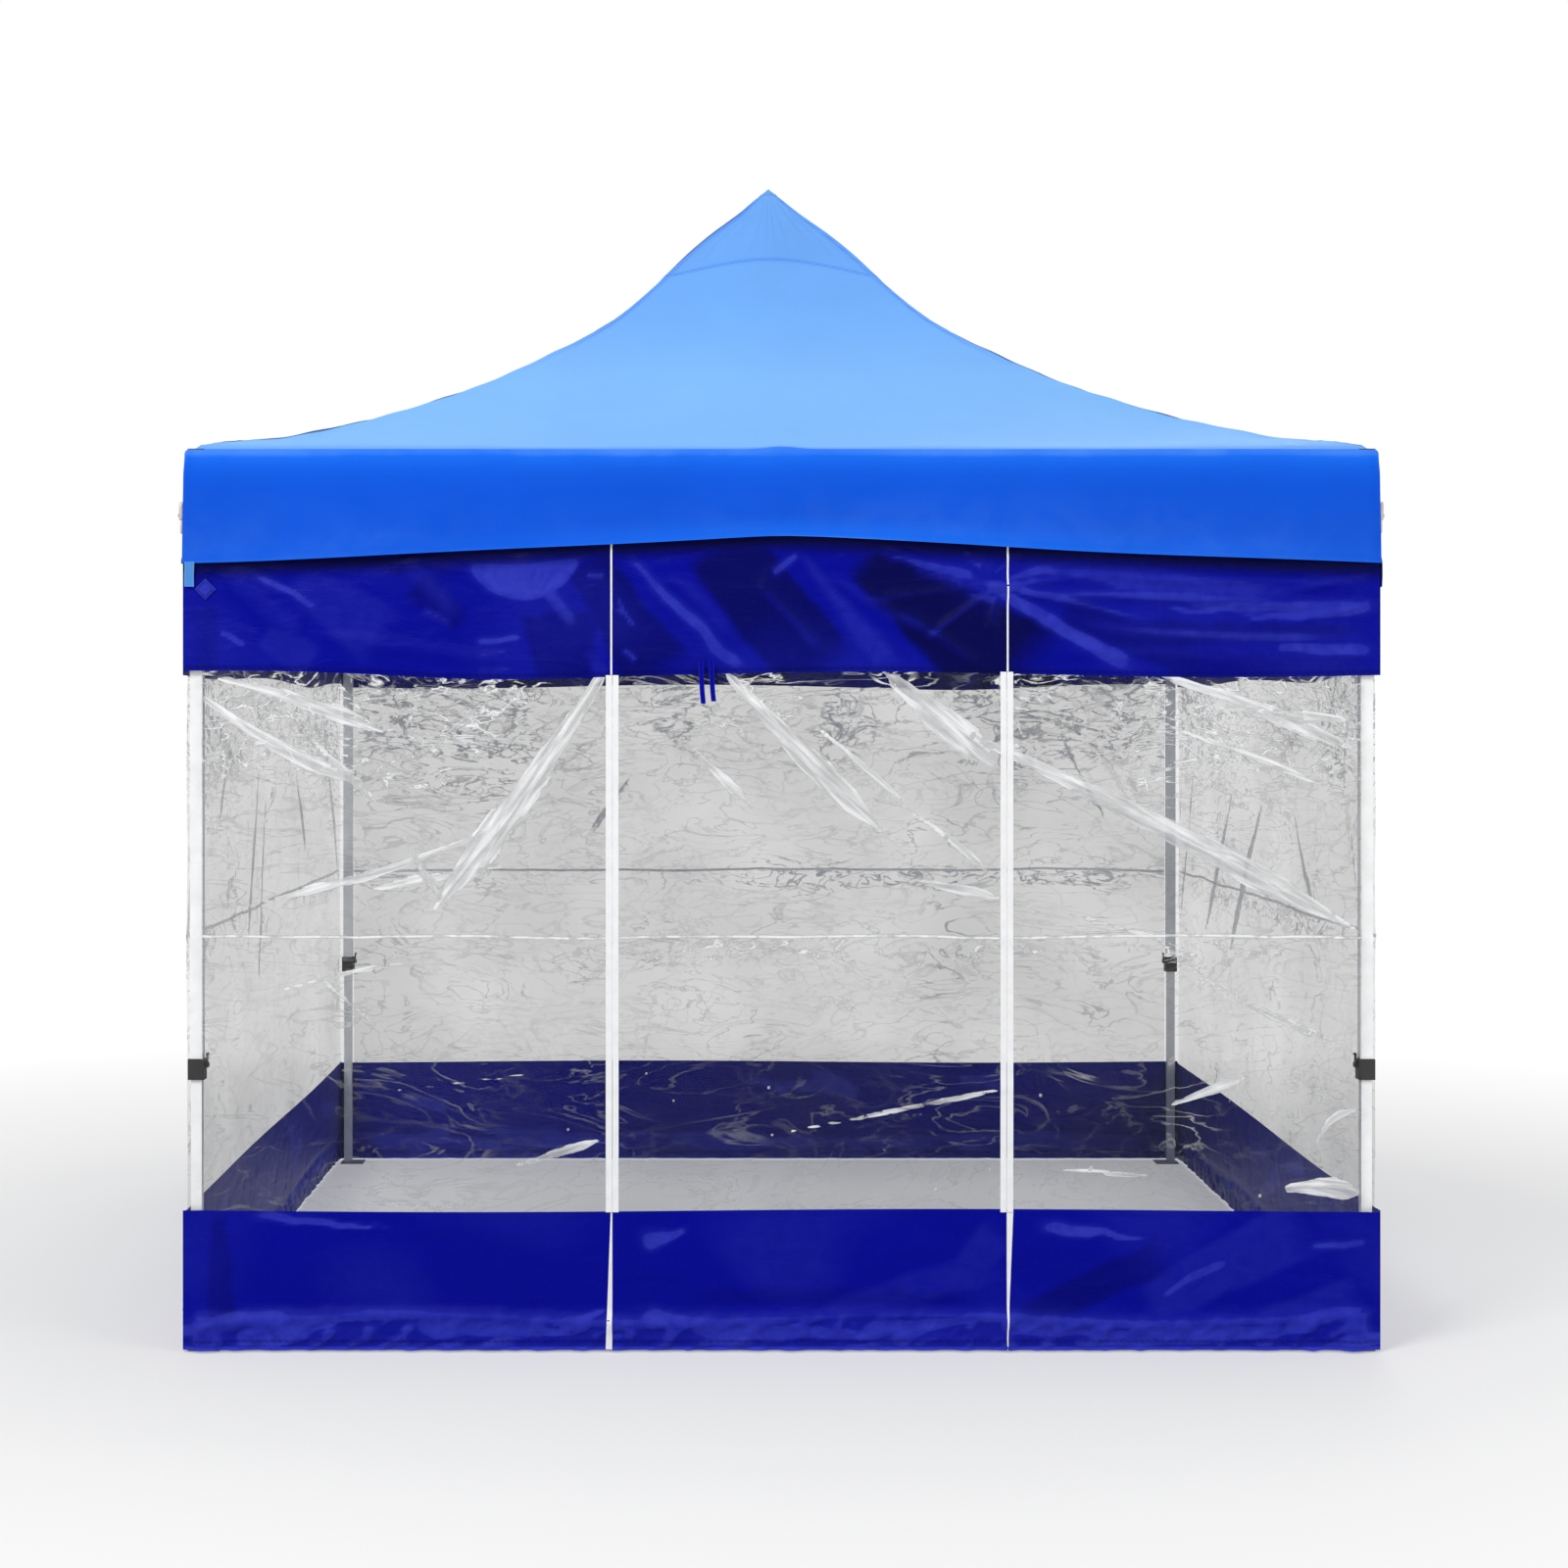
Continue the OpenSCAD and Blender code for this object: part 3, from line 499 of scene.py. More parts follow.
def roof_quarter(t, u):
    """Outer face of the front quarter of the roof. t runs from the peak to the eave and u from the left hip to the
    right. Each level is a square that turns into a circle near the peak. On it stand the edge of the doubled peak
    patch, upright gathers above that edge, felled seams on the hips, and shallow pulls towards the corners. The edge
    dips under the turned top of the valance that is sewn to it."""
    round_off = bell(t, 0.09)
    angle = u * math.pi / 4
    x = HALF * t * ((1 - round_off) * u + round_off * np.sin(angle))
    y = -HALF * t * ((1 - round_off) + round_off * np.cos(angle))
    patch, hip_way = patch_edge(u), to_hip(t, u)
    lift = 0.0028 * fall(t, patch - 0.002, patch + 0.002) - tip_dent(t * HALF)
    gathers = (0.0045 * (0.5 + 0.5 * np.sin(u * 31 + 2.2 * np.sin(u * 7))) * ramp(t, 0.02, 0.09)
               * fall(t, patch - 0.05, patch))
    hip = 0.0028 * bell(hip_way, 0.011) * ramp(t, 0.02, 0.06)
    hip_pull = (0.0018 * bell(hip_way, 0.1) * np.sin(t * 46 + 5 * u) ** 2 * ramp(t, 0.2, 0.4) * fall(t, 0.9, 1))
    pulls = 0.0016 * (1 + np.sin(26 * u * t + 9 * t)) * ramp(t, 0.35, 0.7) * fall(t, 0.93, 1.0) * np.abs(u)
    swell = ripples(x, y, 3, 0.55, 0.0035, 7) * ramp(t, 0.15, 0.4) * fall(t, 0.9, 1.0)
    pad = eave_pad(x) * ramp(t, 0.93, 0.985)
    rise = lift + gathers + hip + hip_pull + pulls + np.maximum(swell, -0.0005) + pad
    corner = (0.0016 * np.sin((1 - t) * HALF * 2 * math.pi / 0.028) * ramp(np.abs(u), 0.55, 0.9)
              * ramp(t, 0.86, 0.93) * fall(t, 0.985, 1.0))
    tuck = ramp(t, 0.974, 0.9895)
    z = (roof_height(t, u) + rise + np.maximum(corner, 0)) * (1 - tuck) + (EAVE - 0.0004 + pad) * tuck
    return np.stack([x, y, z], axis=-1)


t_rows = np.concatenate([np.linspace(0.005, 0.21, 58), np.linspace(0.21, 0.9, 62)[1:],
                         np.linspace(0.9, 1 - EDGE_ROUND / HALF, 14)[1:]])
T, U = np.meshgrid(t_rows, np.linspace(-1, 1, PLEATS * STEPS + 1), indexing="ij")
quarter = roof_quarter(T, U)
quarter_normals = grid_normals(quarter)  # of the whole quarter, so that neighbours share them along their edges
quarter_normals = quarter_normals * np.sign(quarter_normals[..., 2].mean())
slope_run = run_along(quarter[:, PLEATS * STEPS // 2])
roof_cut = np.stack([quarter[..., 0], np.broadcast_to(-slope_run[:, None], T.shape)], axis=-1)
roof_marks = {
    "seam": np.maximum(bell((T - patch_edge(U) + 0.006) * HALF, 0.004), bell(to_hip(T, U) - 0.009, 0.004)),
    "painted_light": ramp(T, 0.22, 0.55),        # painted light: the lower roof paler than the peak
    # painted shade where the roof turns down to the eave, and a little darker over the doubled peak patch
    "turn": np.maximum(0.3 * ramp(T, 0.93, 0.99), 0.07 * fall(T, patch_edge(U) - 0.006, patch_edge(U)))}
for k, side in enumerate(SIDES):
    for p in range(PLEATS):
        cols = slice(p * STEPS, (p + 1) * STEPS + 1)
        points, normals = turned(quarter[:, cols], k), turned(quarter_normals[:, cols], k)
        pleat = cloth_piece(f"roof_{side}_pleat_{p + 1:02d}", points, (0, 0, 1), CLOTH, [ROOF_BLUE], roof_cut[:, cols],
                            normals=normals, marks={key: values[:, cols] for key, values in roof_marks.items()})
        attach(pleat, "mast_rod")
        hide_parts("roof")
        middle = points[-1, STEPS // 2]
        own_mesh(pleat)

# cloth button over the tip: a profile turned about the upright axis, the same profile below it, and a fan at each pole
ring_r = np.array([0.0005, 0.004, 0.009, 0.014, 0.02, 0.026, 0.0275])
ring_z = (roof_height(ring_r / HALF, 1.0) - tip_dent(ring_r) + 0.004 * bell(ring_r, 0.014)
          + np.array([0.0045, 0.0044, 0.0043, 0.0042, 0.004, 0.0038, 0.0032]))
r, z = np.concatenate([ring_r, ring_r[::-1]])[:, None], np.concatenate([ring_z, ring_z[::-1] - CLOTH])[:, None]
turn = np.linspace(0, 2 * math.pi, 49)[:-1]
shell = np.stack([r * np.cos(turn), r * np.sin(turn), z + 0 * turn], axis=-1).reshape(-1, 3)
k, nxt, quads = ring_quads(len(r), len(turn))
fans = [np.stack([np.full(len(turn), pole), *pair], axis=-1).tolist()
        for pole, pair in ((k.size, (k[0], nxt[0])), (k.size + 1, (nxt[-1], k[-1])))]
button = put_mesh("roof_tip_button", np.concatenate([shell, [[0, 0, z[0, 0]], [0, 0, z[-1, 0]]]]),
                  quads[:, [0, 3, 2, 1]].tolist() + fans[0] + fans[1], [ROOF_BLUE])
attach(button, "mast_rod")
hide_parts("roof")


# ---------------------------------------------------------------- valance
def valance_bulge(x, down, seed):
    """How far the valance stands off the wall: little at the eave, more towards its free edge, with slow waves along
    it."""
    wave = ripples(x, down, seed, 0.7, 0.0035, 6) * ramp(down, 0.0, 0.2)
    swag = 0.0022 * np.sin(x * 8 + 3 * down * 5) * ramp(down, 0.04, 0.25)
    return 0.002 + 0.016 * ramp(down, -0.05, 0.33) + np.maximum(wave + swag, -0.004)


def valance_edge(s):
    """Height of the free edge of the valance, an arch, at the share s of the way from the middle to a corner."""
    return VALANCE_LOW + 0.07 * np.clip(1.04 - np.sqrt(s * s + 0.0025), 0, 1) ** 1.25


TURN_ROWS = 5                            # rows of points round the turned top
top = EAVE - EDGE_ROUND
for k, side in enumerate(SIDES):
    S, D = np.meshgrid(np.linspace(-1, 1, 201), np.concatenate([np.zeros(TURN_ROWS), np.linspace(0.008, 1.0, 34)]))
    x_flat = S * HALF
    z = top + (valance_edge(S) + 0.0015 * np.sin(9 * S + k) - top) * D
    drop = top - z
    ends = np.abs(S) ** 12
    corner = 0.002 + 0.004 * ramp(drop, -0.05, 0.33)
    bulge = (1 - ends) * valance_bulge(x_flat, drop, 20 + k) + ends * corner
    lap = 0.0018 * ramp(D, 0.945, 0.955)
    y = -(HALF + bulge * ramp(D, 0.0, 0.2) + lap)
    x = S * (HALF + corner * ramp(D, 0.0, 0.2))
    arc = np.linspace(0, math.pi / 2, TURN_ROWS)[:, None]
    out_to = HALF - EDGE_ROUND + EDGE_ROUND * np.sin(arc)
    z[:TURN_ROWS] = top + EDGE_ROUND * np.cos(arc) + eave_pad(x_flat[:TURN_ROWS])
    y[:TURN_ROWS] = -out_to
    x[:TURN_ROWS] = S[:TURN_ROWS] * out_to
    # painted highlight along the turned top, and along the hem where it swings out, most in the middle of the side
    lit_hem = 0.42 * ramp(D, 0.72, 0.99) * (0.2 + 0.8 * bell(S - 0.15, 0.55)) + 0.2 * ramp(D, 0.975, 0.985)
    edge = np.maximum(lit_hem, np.exp(-np.maximum(drop + 0.014, 0) / 0.034))
    # painted sheen down towards the hem and where the valance bulges out
    painted_light = ramp(D, 0.15, 0.95) * (0.7 + 0.3 * np.sin(4 * S + k)) + np.clip((bulge - 0.013) / 0.008, 0, 0.4)
    line = 0.4 * bell((D - 0.95) * 0.28, 0.003) + bell((1 - np.abs(S)) * HALF - 0.01, 0.004)
    strip = cloth_piece(f"{side}_valance", turned(np.stack([x, y, z], axis=-1), k),
                        turned(np.array([0.0, -1.0, 0.2]), k), CLOTH, [VALANCE_BLUE], np.stack([x, z], axis=-1),
                        marks={"hem": edge, "seam": np.clip(line, 0, 1), "painted_light": painted_light})
    declare(strip, f"{side}_mid_top", "roof_fabric", "roof", k, flat=(2 * HALF, VALANCE_DROP), held="hung",
            rests_on=[f"{side}_mid_top"])

# ---------------------------------------------------------------- relief and marks of the walls
# folds that are drawn to the head of the right zip: angle, reach, height
PINCH = (0.545, 1.925)
STAR = [((PINCH, (PINCH[0] + reach * math.cos(angle), PINCH[1] + reach * math.sin(angle) * 0.8)), 0.011, size)
        for angle, reach, size in (
            (2.75, 0.3, 0.01), (2.2, 0.14, 0.008), (0.15, 0.34, 0.012), (-0.28, 0.4, 0.012), (-0.9, 0.2, 0.009),
            (-2.4, 0.26, 0.01), (-1.7, 0.16, 0.008), (1.2, 0.12, 0.006), (-3.0, 0.34, 0.007))]
# level folds to the right of it, and soft swells to the left: ends, half width, height, bow
LEVEL = (
    (((0.62, 1.905), (1.47, 1.86)), 0.016, 0.013, 0.012), (((0.72, 1.83), (1.46, 1.8)), 0.022, 0.01, -0.015),
    (((0.75, 1.945), (1.44, 1.935)), 0.013, 0.009), (((0.66, 1.76), (1.2, 1.735)), 0.02, 0.007, 0.01),
    (((1.22, 1.9), (1.48, 1.955)), 0.012, 0.009), (((1.27, 1.83), (1.49, 1.885)), 0.01, 0.009))
SWELLS = (
    (((-0.95, 2.0), (-0.8, 1.83)), 0.035, 0.011), (((-0.66, 2.0), (-0.5, 1.8)), 0.03, 0.01),
    (((-1.4, 1.95), (-1.2, 1.76)), 0.04, 0.009, 0.02), (((-0.3, 1.98), (-0.12, 1.78)), 0.028, 0.01, 0.01),
    (((-0.06, 1.93), (0.12, 1.74)), 0.02, 0.009), (((0.1, 1.97), (0.36, 1.8)), 0.022, 0.009),
    (((-1.18, 1.8), (-0.62, 1.72)), 0.018, 0.006), (((0.3, 1.86), (0.5, 1.72)), 0.016, 0.008))
# slanting pulls in the front film: ends, half width, strength, bow
FILM_PULLS = (
    (((-0.458, 1.69), (-0.882, 1.1)), 0.034, 0.8, 0.012), (((-0.125, 1.69), (0.262, 1.3)), 0.022, 1.0, -0.006),
    (((0.28, 1.69), (0.54, 1.47)), 0.03, 1.0, 0.0), (((0.54, 1.52), (1.46, 1.05)), 0.022, 1.0, 0.01),
    (((0.75, 1.4), (1.3, 1.13)), 0.018, 0.8, 0.02), (((0.1, 1.56), (0.32, 1.37)), 0.01, 0.75, 0.0),
    (((-0.215, 1.51), (-0.075, 1.37)), 0.011, 0.75, 0.0), (((0.32, 1.36), (0.53, 1.19)), 0.01, 0.7, 0.01),
    (((0.36, 1.18), (0.55, 1.14)), 0.013, 0.8, 0.0), (((-1.45, 1.64), (-1.02, 1.42)), 0.026, 0.62, -0.02),
    (((-1.4, 1.69), (-0.98, 1.55)), 0.026, 0.62, 0.01), (((-1.2, 1.56), (-1.0, 1.36)), 0.014, 0.6, 0.0),
    (((0.98, 1.69), (1.46, 1.5)), 0.028, 0.62, 0.01), (((0.9, 1.6), (1.44, 1.4)), 0.013, 0.6, 0.0),
    (((1.1, 1.62), (1.46, 1.58)), 0.016, 0.6, 0.0), (((-0.6, 1.36), (-1.35, 1.12)), 0.016, 0.6, 0.02),
    (((-0.7, 1.22), (-1.05, 1.16)), 0.02, 0.55, 0.0), (((-0.95, 1.3), (-0.85, 1.12)), 0.012, 0.6, 0.0),
    (((1.02, 0.97), (1.45, 0.76)), 0.012, 0.6, -0.02), (((0.62, 1.12), (1.05, 1.0)), 0.014, 0.5, 0.01),
    (((-0.66, 0.47), (-0.45, 0.535)), 0.012, 0.7, 0.0), (((0.05, 0.56), (0.6, 0.67)), 0.009, 0.62, 0.0),
    (((0.985, 0.625), (1.165, 0.69)), 0.011, 0.8, 0.0), (((-1.2, 0.98), (-1.0, 0.8)), 0.009, 0.55, 0.0),
    (((1.27, 0.41), (1.46, 0.395)), 0.022, 0.85, 0.012), (((1.345, 0.53), (1.446, 0.61)), 0.01, 0.7, 0.02),
    (((-1.28, 0.9), (-0.92, 0.98)), 0.01, 0.55, 0.01), (((-0.95, 0.66), (-0.62, 0.7)), 0.009, 0.5, 0.0),
    (((0.7, 0.46), (0.95, 0.44)), 0.01, 0.6, 0.0))
# straight facets of painted sheen on the front head band: start, end, half widths there, strength
FRONT_BEAMS = (
    ((0.04, 2.01), (0.294, 1.69), (0.004, 0.044), 0.36), ((-0.029, 1.955), (0.038, 2.011), (0.008, 0.008), 0.7),
    ((-0.385, 1.995), (-0.08, 1.69), (0.009, 0.021), 0.55), ((-0.3, 1.9), (-0.16, 1.77), (0.006, 0.01), 0.7),
    ((-1.333, 1.956), (-1.161, 1.867), (0.008, 0.008), 0.75), ((-1.22, 1.94), (-1.0, 1.79), (0.04, 0.085), 0.3),
    ((-1.417, 1.805), (-1.34, 1.772), (0.007, 0.009), 0.75), ((-1.3, 1.8), (-1.18, 1.72), (0.03, 0.05), 0.33),
    ((-0.776, 1.782), (-0.65, 1.793), (0.008, 0.01), 0.62), ((-0.765, 1.752), (-0.69, 1.758), (0.007, 0.007), 0.5),
    ((-0.76, 1.712), (-0.67, 1.712), (0.006, 0.007), 0.5), ((-0.9, 1.86), (-0.83, 1.83), (0.009, 0.009), 0.45),
    ((-0.492, 1.95), (-0.446, 1.947), (0.007, 0.007), 0.6), ((-0.416, 1.89), (-0.36, 1.815), (0.008, 0.01), 0.55),
    ((-0.42, 1.86), (-0.375, 1.855), (0.007, 0.007), 0.6), ((-0.405, 1.765), (-0.365, 1.735), (0.007, 0.008), 0.65),
    ((-0.5, 1.76), (-0.44, 1.69), (0.016, 0.02), 0.3), ((0.216, 2.02), (0.5, 1.938), (0.006, 0.016), 0.62),
    ((0.33, 1.965), (0.47, 1.925), (0.006, 0.022), 0.38), ((0.428, 2.022), (0.506, 1.962), (0.008, 0.01), 0.6),
    ((0.53, 1.952), (0.59, 2.012), (0.003, 0.009), 0.62), ((0.555, 1.945), (0.7, 1.972), (0.008, 0.026), 0.5),
    ((0.455, 1.904), (0.545, 1.88), (0.006, 0.018), 0.5), ((0.538, 1.91), (0.89, 1.712), (0.012, 0.024), 0.72),
    ((0.6, 1.99), (1.3, 1.868), (0.022, 0.055), 0.4), ((0.95, 1.862), (1.49, 1.876), (0.01, 0.02), 0.52),
    ((0.92, 0.12), (1.32, 0.32), (0.05, 0.08), 0.33), ((1.15, 0.06), (1.46, 0.16), (0.02, 0.04), 0.33),
    ((0.42, 0.16), (0.55, 0.3), (0.03, 0.05), 0.3), ((0.1, 0.1), (0.56, 0.22), (0.02, 0.05), 0.26),
    ((0.95, 0.14), (1.12, 0.235), (0.008, 0.014), 0.6), ((1.33, 0.265), (1.47, 0.278), (0.008, 0.012), 0.6),
    ((1.17, 1.84), (1.49, 1.872), (0.006, 0.02), 0.75), ((1.24, 1.768), (1.492, 1.76), (0.01, 0.016), 0.7),
    ((1.3, 1.93), (1.48, 1.95), (0.01, 0.018), 0.33))
# patches of painted sheen on the front foot band: middle, half sizes, lean
FRONT_PATCHES = (
    ((-1.13, 0.085), (0.3, 0.02), 0.04), ((-0.72, 0.06), (0.26, 0.034), -0.05), ((-0.5, 0.085), (0.08, 0.022), 0.3),
    ((-1.28, 0.055), (0.12, 0.032), 0.25), ((0.02, 0.055), (0.32, 0.036), -0.05), ((0.35, 0.07), (0.2, 0.03), 0.1),
    ((-0.25, 0.08), (0.14, 0.028), -0.1), ((0.72, 0.06), (0.22, 0.038), -0.12), ((1.1, 0.05), (0.3, 0.04), 0.02),
    ((1.36, 0.09), (0.13, 0.03), 0.22), ((0.78, 0.3), (0.16, 0.02), -0.1), ((-1.16, 0.325), (0.2, 0.014), -0.1),
    ((-0.3, 0.29), (0.07, 0.03), 0.3))
# bowls of painted sheen where the cloth is drawn in by the frame behind it: middle, half sizes
FRONT_BOWLS = (((-0.648, 2.005), (0.145, 0.115)),)
# places between the folds that lie in their own shade, given as beams
FRONT_SHADES = (
    ((-0.17, 2.03), (0.11, 1.69), (0.09, 0.1), 0.7), ((0.2, 1.99), (0.62, 1.68), (0.05, 0.15), 0.85),
    ((-0.5, 1.99), (-0.3, 1.69), (0.05, 0.09), 0.6), ((-0.56, 1.86), (-0.55, 1.68), (0.1, 0.06), 0.5),
    ((0.7, 1.86), (1.1, 1.7), (0.05, 0.03), 0.4), ((0.8, 1.8), (1.46, 1.81), (0.04, 0.012), 0.5),
    ((1.0, 1.73), (1.48, 1.725), (0.03, 0.02), 0.3), ((0.95, 1.995), (1.47, 1.975), (0.015, 0.012), 0.65),
    ((-1.42, 1.99), (-0.8, 2.0), (0.02, 0.05), 0.6), ((-0.92, 1.93), (-0.8, 1.83), (0.04, 0.03), 0.35),
    ((-1.46, 1.87), (-1.44, 1.71), (0.03, 0.03), 0.3), ((-1.42, 0.34), (-1.4, 0.04), (0.02, 0.04), 0.35),
    ((0.6, 0.08), (0.98, 0.25), (0.03, 0.05), 0.4), ((-0.2, 0.14), (0.5, 0.13), (0.02, 0.02), 0.25))
PULL_STRENGTH = (1.0, 0.85, 0.6, 0.85)   # front, right, back and left wall


def shared_relief(x, z, *seeds):
    """What all walls have, each from its seed: ripples of the head band, of the film and of the foot band, and the
    heap on the ground with the fold above it."""
    head = np.maximum(ripples(x, z, seeds[0], 0.16, 0.0022, 9, 0.6), 0)
    film = 0.002 + ripples(x, z, seeds[1], 0.35, 0.0015, 8, 0.3)
    foot = 0.002 + np.maximum(ripples(x, z, seeds[2], 0.3, 0.0025, 8, 0.5), -0.001)
    heap = fall(z, 0.05, 0.125) * (0.012 + np.maximum(ripples(x, z * 1.6, seeds[3], 0.13, 0.006, 10, 0.8), -0.006))
    return head, film, foot, heap + 0.01 * bell(z - 0.085 - 0.012 * np.sin(5 * x), 0.016)


def front_relief(x, z):
    """How far the front wall's cloth stands out. The top band has a star of folds drawn to the head of the right zip,
    long level folds to the right of it and soft swells to the left; the film has broad slanting pulls and a packing
    crease; the foot band is flat with a crumpled fold where it meets the ground. It lies flat along the door's upper
    edge and the left zip."""
    head, film, foot, crumple = shared_relief(x, z, 31, 37, 41, 43)
    band = (folds(x, z, STAR) + folds(x, z, LEVEL) + folds(x, z, SWELLS) + head) * ramp(z, 1.69, 1.74)
    pulls = folds(x, z, [(ends, width, 0.01 * size, bend) for ends, width, size, bend in FILM_PULLS])
    pulled = (pulls + 0.003 * bell(z - PACKING_CREASE, 0.012)) * fall(z, 1.66, 1.7) * ramp(z, 0.36, 0.42)
    film = pulled + film * ramp(z, 0.36, 0.5) * fall(z, 1.6, 1.7)
    corner = 0.014 * bell(np.abs(x) - 1.46, 0.05) * fall(z, 0.05, 0.125)
    in_door = ramp(x, DOOR_LEFT - 0.06, DOOR_LEFT) * fall(x, DOOR_RIGHT, DOOR_RIGHT + 0.06)
    at_head = 1 - 0.92 * in_door * fall(np.abs(z - DOOR_HEAD), 0.004, 0.035)
    at_zip = 1 - 0.97 * np.exp(-((x - DOOR_LEFT) / 0.035) ** 4) * (z > 0.36)
    total = band + film + fall(z, 0.3, 0.36) * foot + crumple + corner
    return np.maximum(0.0012 + total * (at_head * at_zip), 0.0)


def other_relief(seed):
    """The same kind of relief for the other walls, with folds from seeded places that fan out towards the corners.
    Gives back the relief and the pulls of the film."""
    rng = np.random.default_rng(seed)
    pulls = []
    for _ in range(9):
        x0, z0 = rng.uniform(-1.4, 1.4), rng.uniform(1.3, 1.7)
        reach, lean = rng.uniform(0.25, 0.7), rng.uniform(-1.0, 1.0)
        lean = math.copysign(0.25 + 0.8 * abs(lean), x0)
        ends = ((x0, z0), (float(np.clip(x0 + reach * lean, -1.46, 1.46)), z0 - reach))
        pulls.append((ends, rng.uniform(0.01, 0.028), rng.uniform(0.4, 0.9), rng.uniform(-0.02, 0.02)))
    upper = [(((x0, 1.97), (x0 + rng.uniform(-0.25, 0.25), rng.uniform(1.73, 1.8))), rng.uniform(0.015, 0.035), 0.009)
             for x0 in rng.uniform(-1.35, 1.35, 12)]
    soft = [(ends, max(width, 0.02), 0.004 * size, bend) for ends, width, size, bend in pulls]

    def relief(x, z):
        head, film, foot, crumple = shared_relief(x, z, *range(seed + 1, seed + 5))
        band = (folds(x, z, upper) + head) * ramp(z, 1.69, 1.74)
        film = folds(x, z, soft) + 0.003 * bell(z - PACKING_CREASE, 0.012) + film
        film = film * ramp(z, 0.4, 0.5) * fall(z, 1.62, 1.7)
        return np.maximum(0.0012 + band + film + foot * fall(z, 0.3, 0.4) + crumple, 0.0)
    return relief, tuple(pulls)


def film_marks(x, z, pulls, k):
    """Numbers on the film: how much painted sheen it has, 0 to 1, in ribbons along the slanting pulls that broaden
    downwards and end in a point; the place along and across the nearest pull in metres; and how densely it is
    crumpled, 0 to 1, most at the head of the window towards its corners and just under the packing crease."""
    sheen, down_line, off_line = np.zeros_like(x) - 9.0, np.zeros_like(x), np.zeros_like(x)
    for ends, width, size, bend in pulls:
        along, across, length = from_line(x, z, ends, bend)
        half = width * (0.45 + 0.65 * ramp(along, 0.0, 0.65)) * fall(along, 0.7, 1.04) * ramp(along, -0.08, 0.03)
        here = size * PULL_STRENGTH[k] * (1.24 - 0.55 * np.abs(across) / np.maximum(half, 1e-4))
        nearest = here > sheen
        sheen, down_line = np.where(nearest, here, sheen), np.where(nearest, along * length, down_line)
        off_line = np.where(nearest, across + 3 * ends[0][0], off_line)
    corners = ramp(np.abs(x), 0.65, 1.05) * ramp(z, 1.38, 1.52)
    under = bell(z - PACKING_CREASE + 0.03, 0.035) * (0.65 + 0.35 * np.sin(2.3 * x + 1 + k))
    lower = 0.35 * ramp(ripples(x, z, 15 + k, 0.4, 1.0, 7), 0.2, 0.8)
    crumple = 0.22 + 0.45 * ramp(z + 0.15 * np.abs(x), 1.25, 1.75) + corners * 0.6 + under + lower
    return {"sheen": np.maximum(sheen, 0.0), "down_line": down_line, "off_line": off_line,
            "crumple": np.clip(crumple, 0, 1)}


def other_marks(seed):
    """Patches, beams and bowls of painted sheen, and shades of painted shade, on the other walls' bands, from seeded
    places: slanting beams in the head band and long level patches at the foot."""
    near = np.random.default_rng(seed).uniform
    heads, feet, middles = (near(-wide, wide, n).tolist() for wide, n in ((1.35, 15), (1.35, 11), (1.3, 5)))
    beams = [((x, near(1.9, 2.0)), (x + near(-0.1, 0.4) * (1 if x > 0 else -1), near(1.7, 1.8)),
              (near(0.004, 0.012), near(0.012, 0.04)), near(0.3, 0.7)) for x in heads]
    foot = [((x, near(0.05, 0.09)), (near(0.14, 0.32), near(0.025, 0.04)), near(-0.15, 0.2)) for x in feet]
    middle = [((x, near(0.18, 0.3)), (near(0.1, 0.24), near(0.02, 0.05)), near(-0.5, 0.5)) for x in middles]
    bowls = [((x, 2.0), (near(0.1, 0.15), near(0.08, 0.11))) for x in near(-1.3, 1.3, 2).tolist()]
    shades = [((x, 1.98), (x + near(-0.1, 0.35), 1.69), (near(0.03, 0.07), near(0.05, 0.13)), near(0.4, 0.8))
              for x in near(-1.4, 1.4, 8).tolist()]
    return foot + middle, beams, bowls, shades


def painted_sheen_patch(x, z, middle, size, lean):
    """A patch of painted sheen: a wedge of the given half length and half width along the direction
    lean, narrowing from its start to its end, crisp along its lower side and fading out upwards."""
    dx, dz = x - middle[0], z - middle[1]
    along = (dx * math.cos(lean) + dz * math.sin(lean)) / size[0]
    across = dz * math.cos(lean) - dx * math.sin(lean)
    across = across / (size[1] * (1.05 - 0.75 * ramp(along, -0.8, 1.0)))
    return fall(np.abs(along), 0.55, 1.0) * ramp(across, -1.35, -0.35) * fall(across, -0.1, 1.45)


def beam(x, z, start, end, wide, strength):
    """The mask of a straight facet between two folds, used for painted sheen and painted shade: full within the half
    width that runs from wide[0] at its start to wide[1] at its end, with a narrow edge and faded ends."""
    along, across, _ = from_line(x, z, (start, end))
    half = wide[0] + (wide[1] - wide[0]) * np.clip(along, 0, 1)
    full = np.clip(0.5 + (half - np.abs(across)) / 0.018, 0, 1)
    return strength * full * ramp(along, -0.06, 0.08) * fall(along, 0.82, 1.06)


# for each wall its relief, the pulls of its film, and its patches, beams, bowls and shades
WALLS = [(front_relief, FILM_PULLS, (FRONT_PATCHES, FRONT_BEAMS, FRONT_BOWLS, FRONT_SHADES))]
WALLS += [(*other_relief(50 + 10 * k), other_marks(70 + k)) for k in (1, 2, 3)]


# ---------------------------------------------------------------- walls
def window_head(x):
    """Height of the upper edge of the film, which dips a little between the corners and the zips."""
    return WINDOW_HEAD + 0.012 * np.cos(2.1 * x) * np.sin(1.7 * x + 0.6) - 0.01 * bell(x + 0.75, 0.3)


def window_foot(x):
    """Height of the lower edge of the film."""
    return WINDOW_FOOT + 0.004 * np.sin(2.6 * x + 0.5)


def room(z):
    """How far the cloth can stand out under the valance, where it lies close to the frame."""
    return 0.0035 + 0.008 * fall(z, 1.95, 2.06)


def kept_in(out, z):
    """The relief, held to its room under the valance."""
    return np.where(z > 1.93, np.minimum(out, room(z)), out)


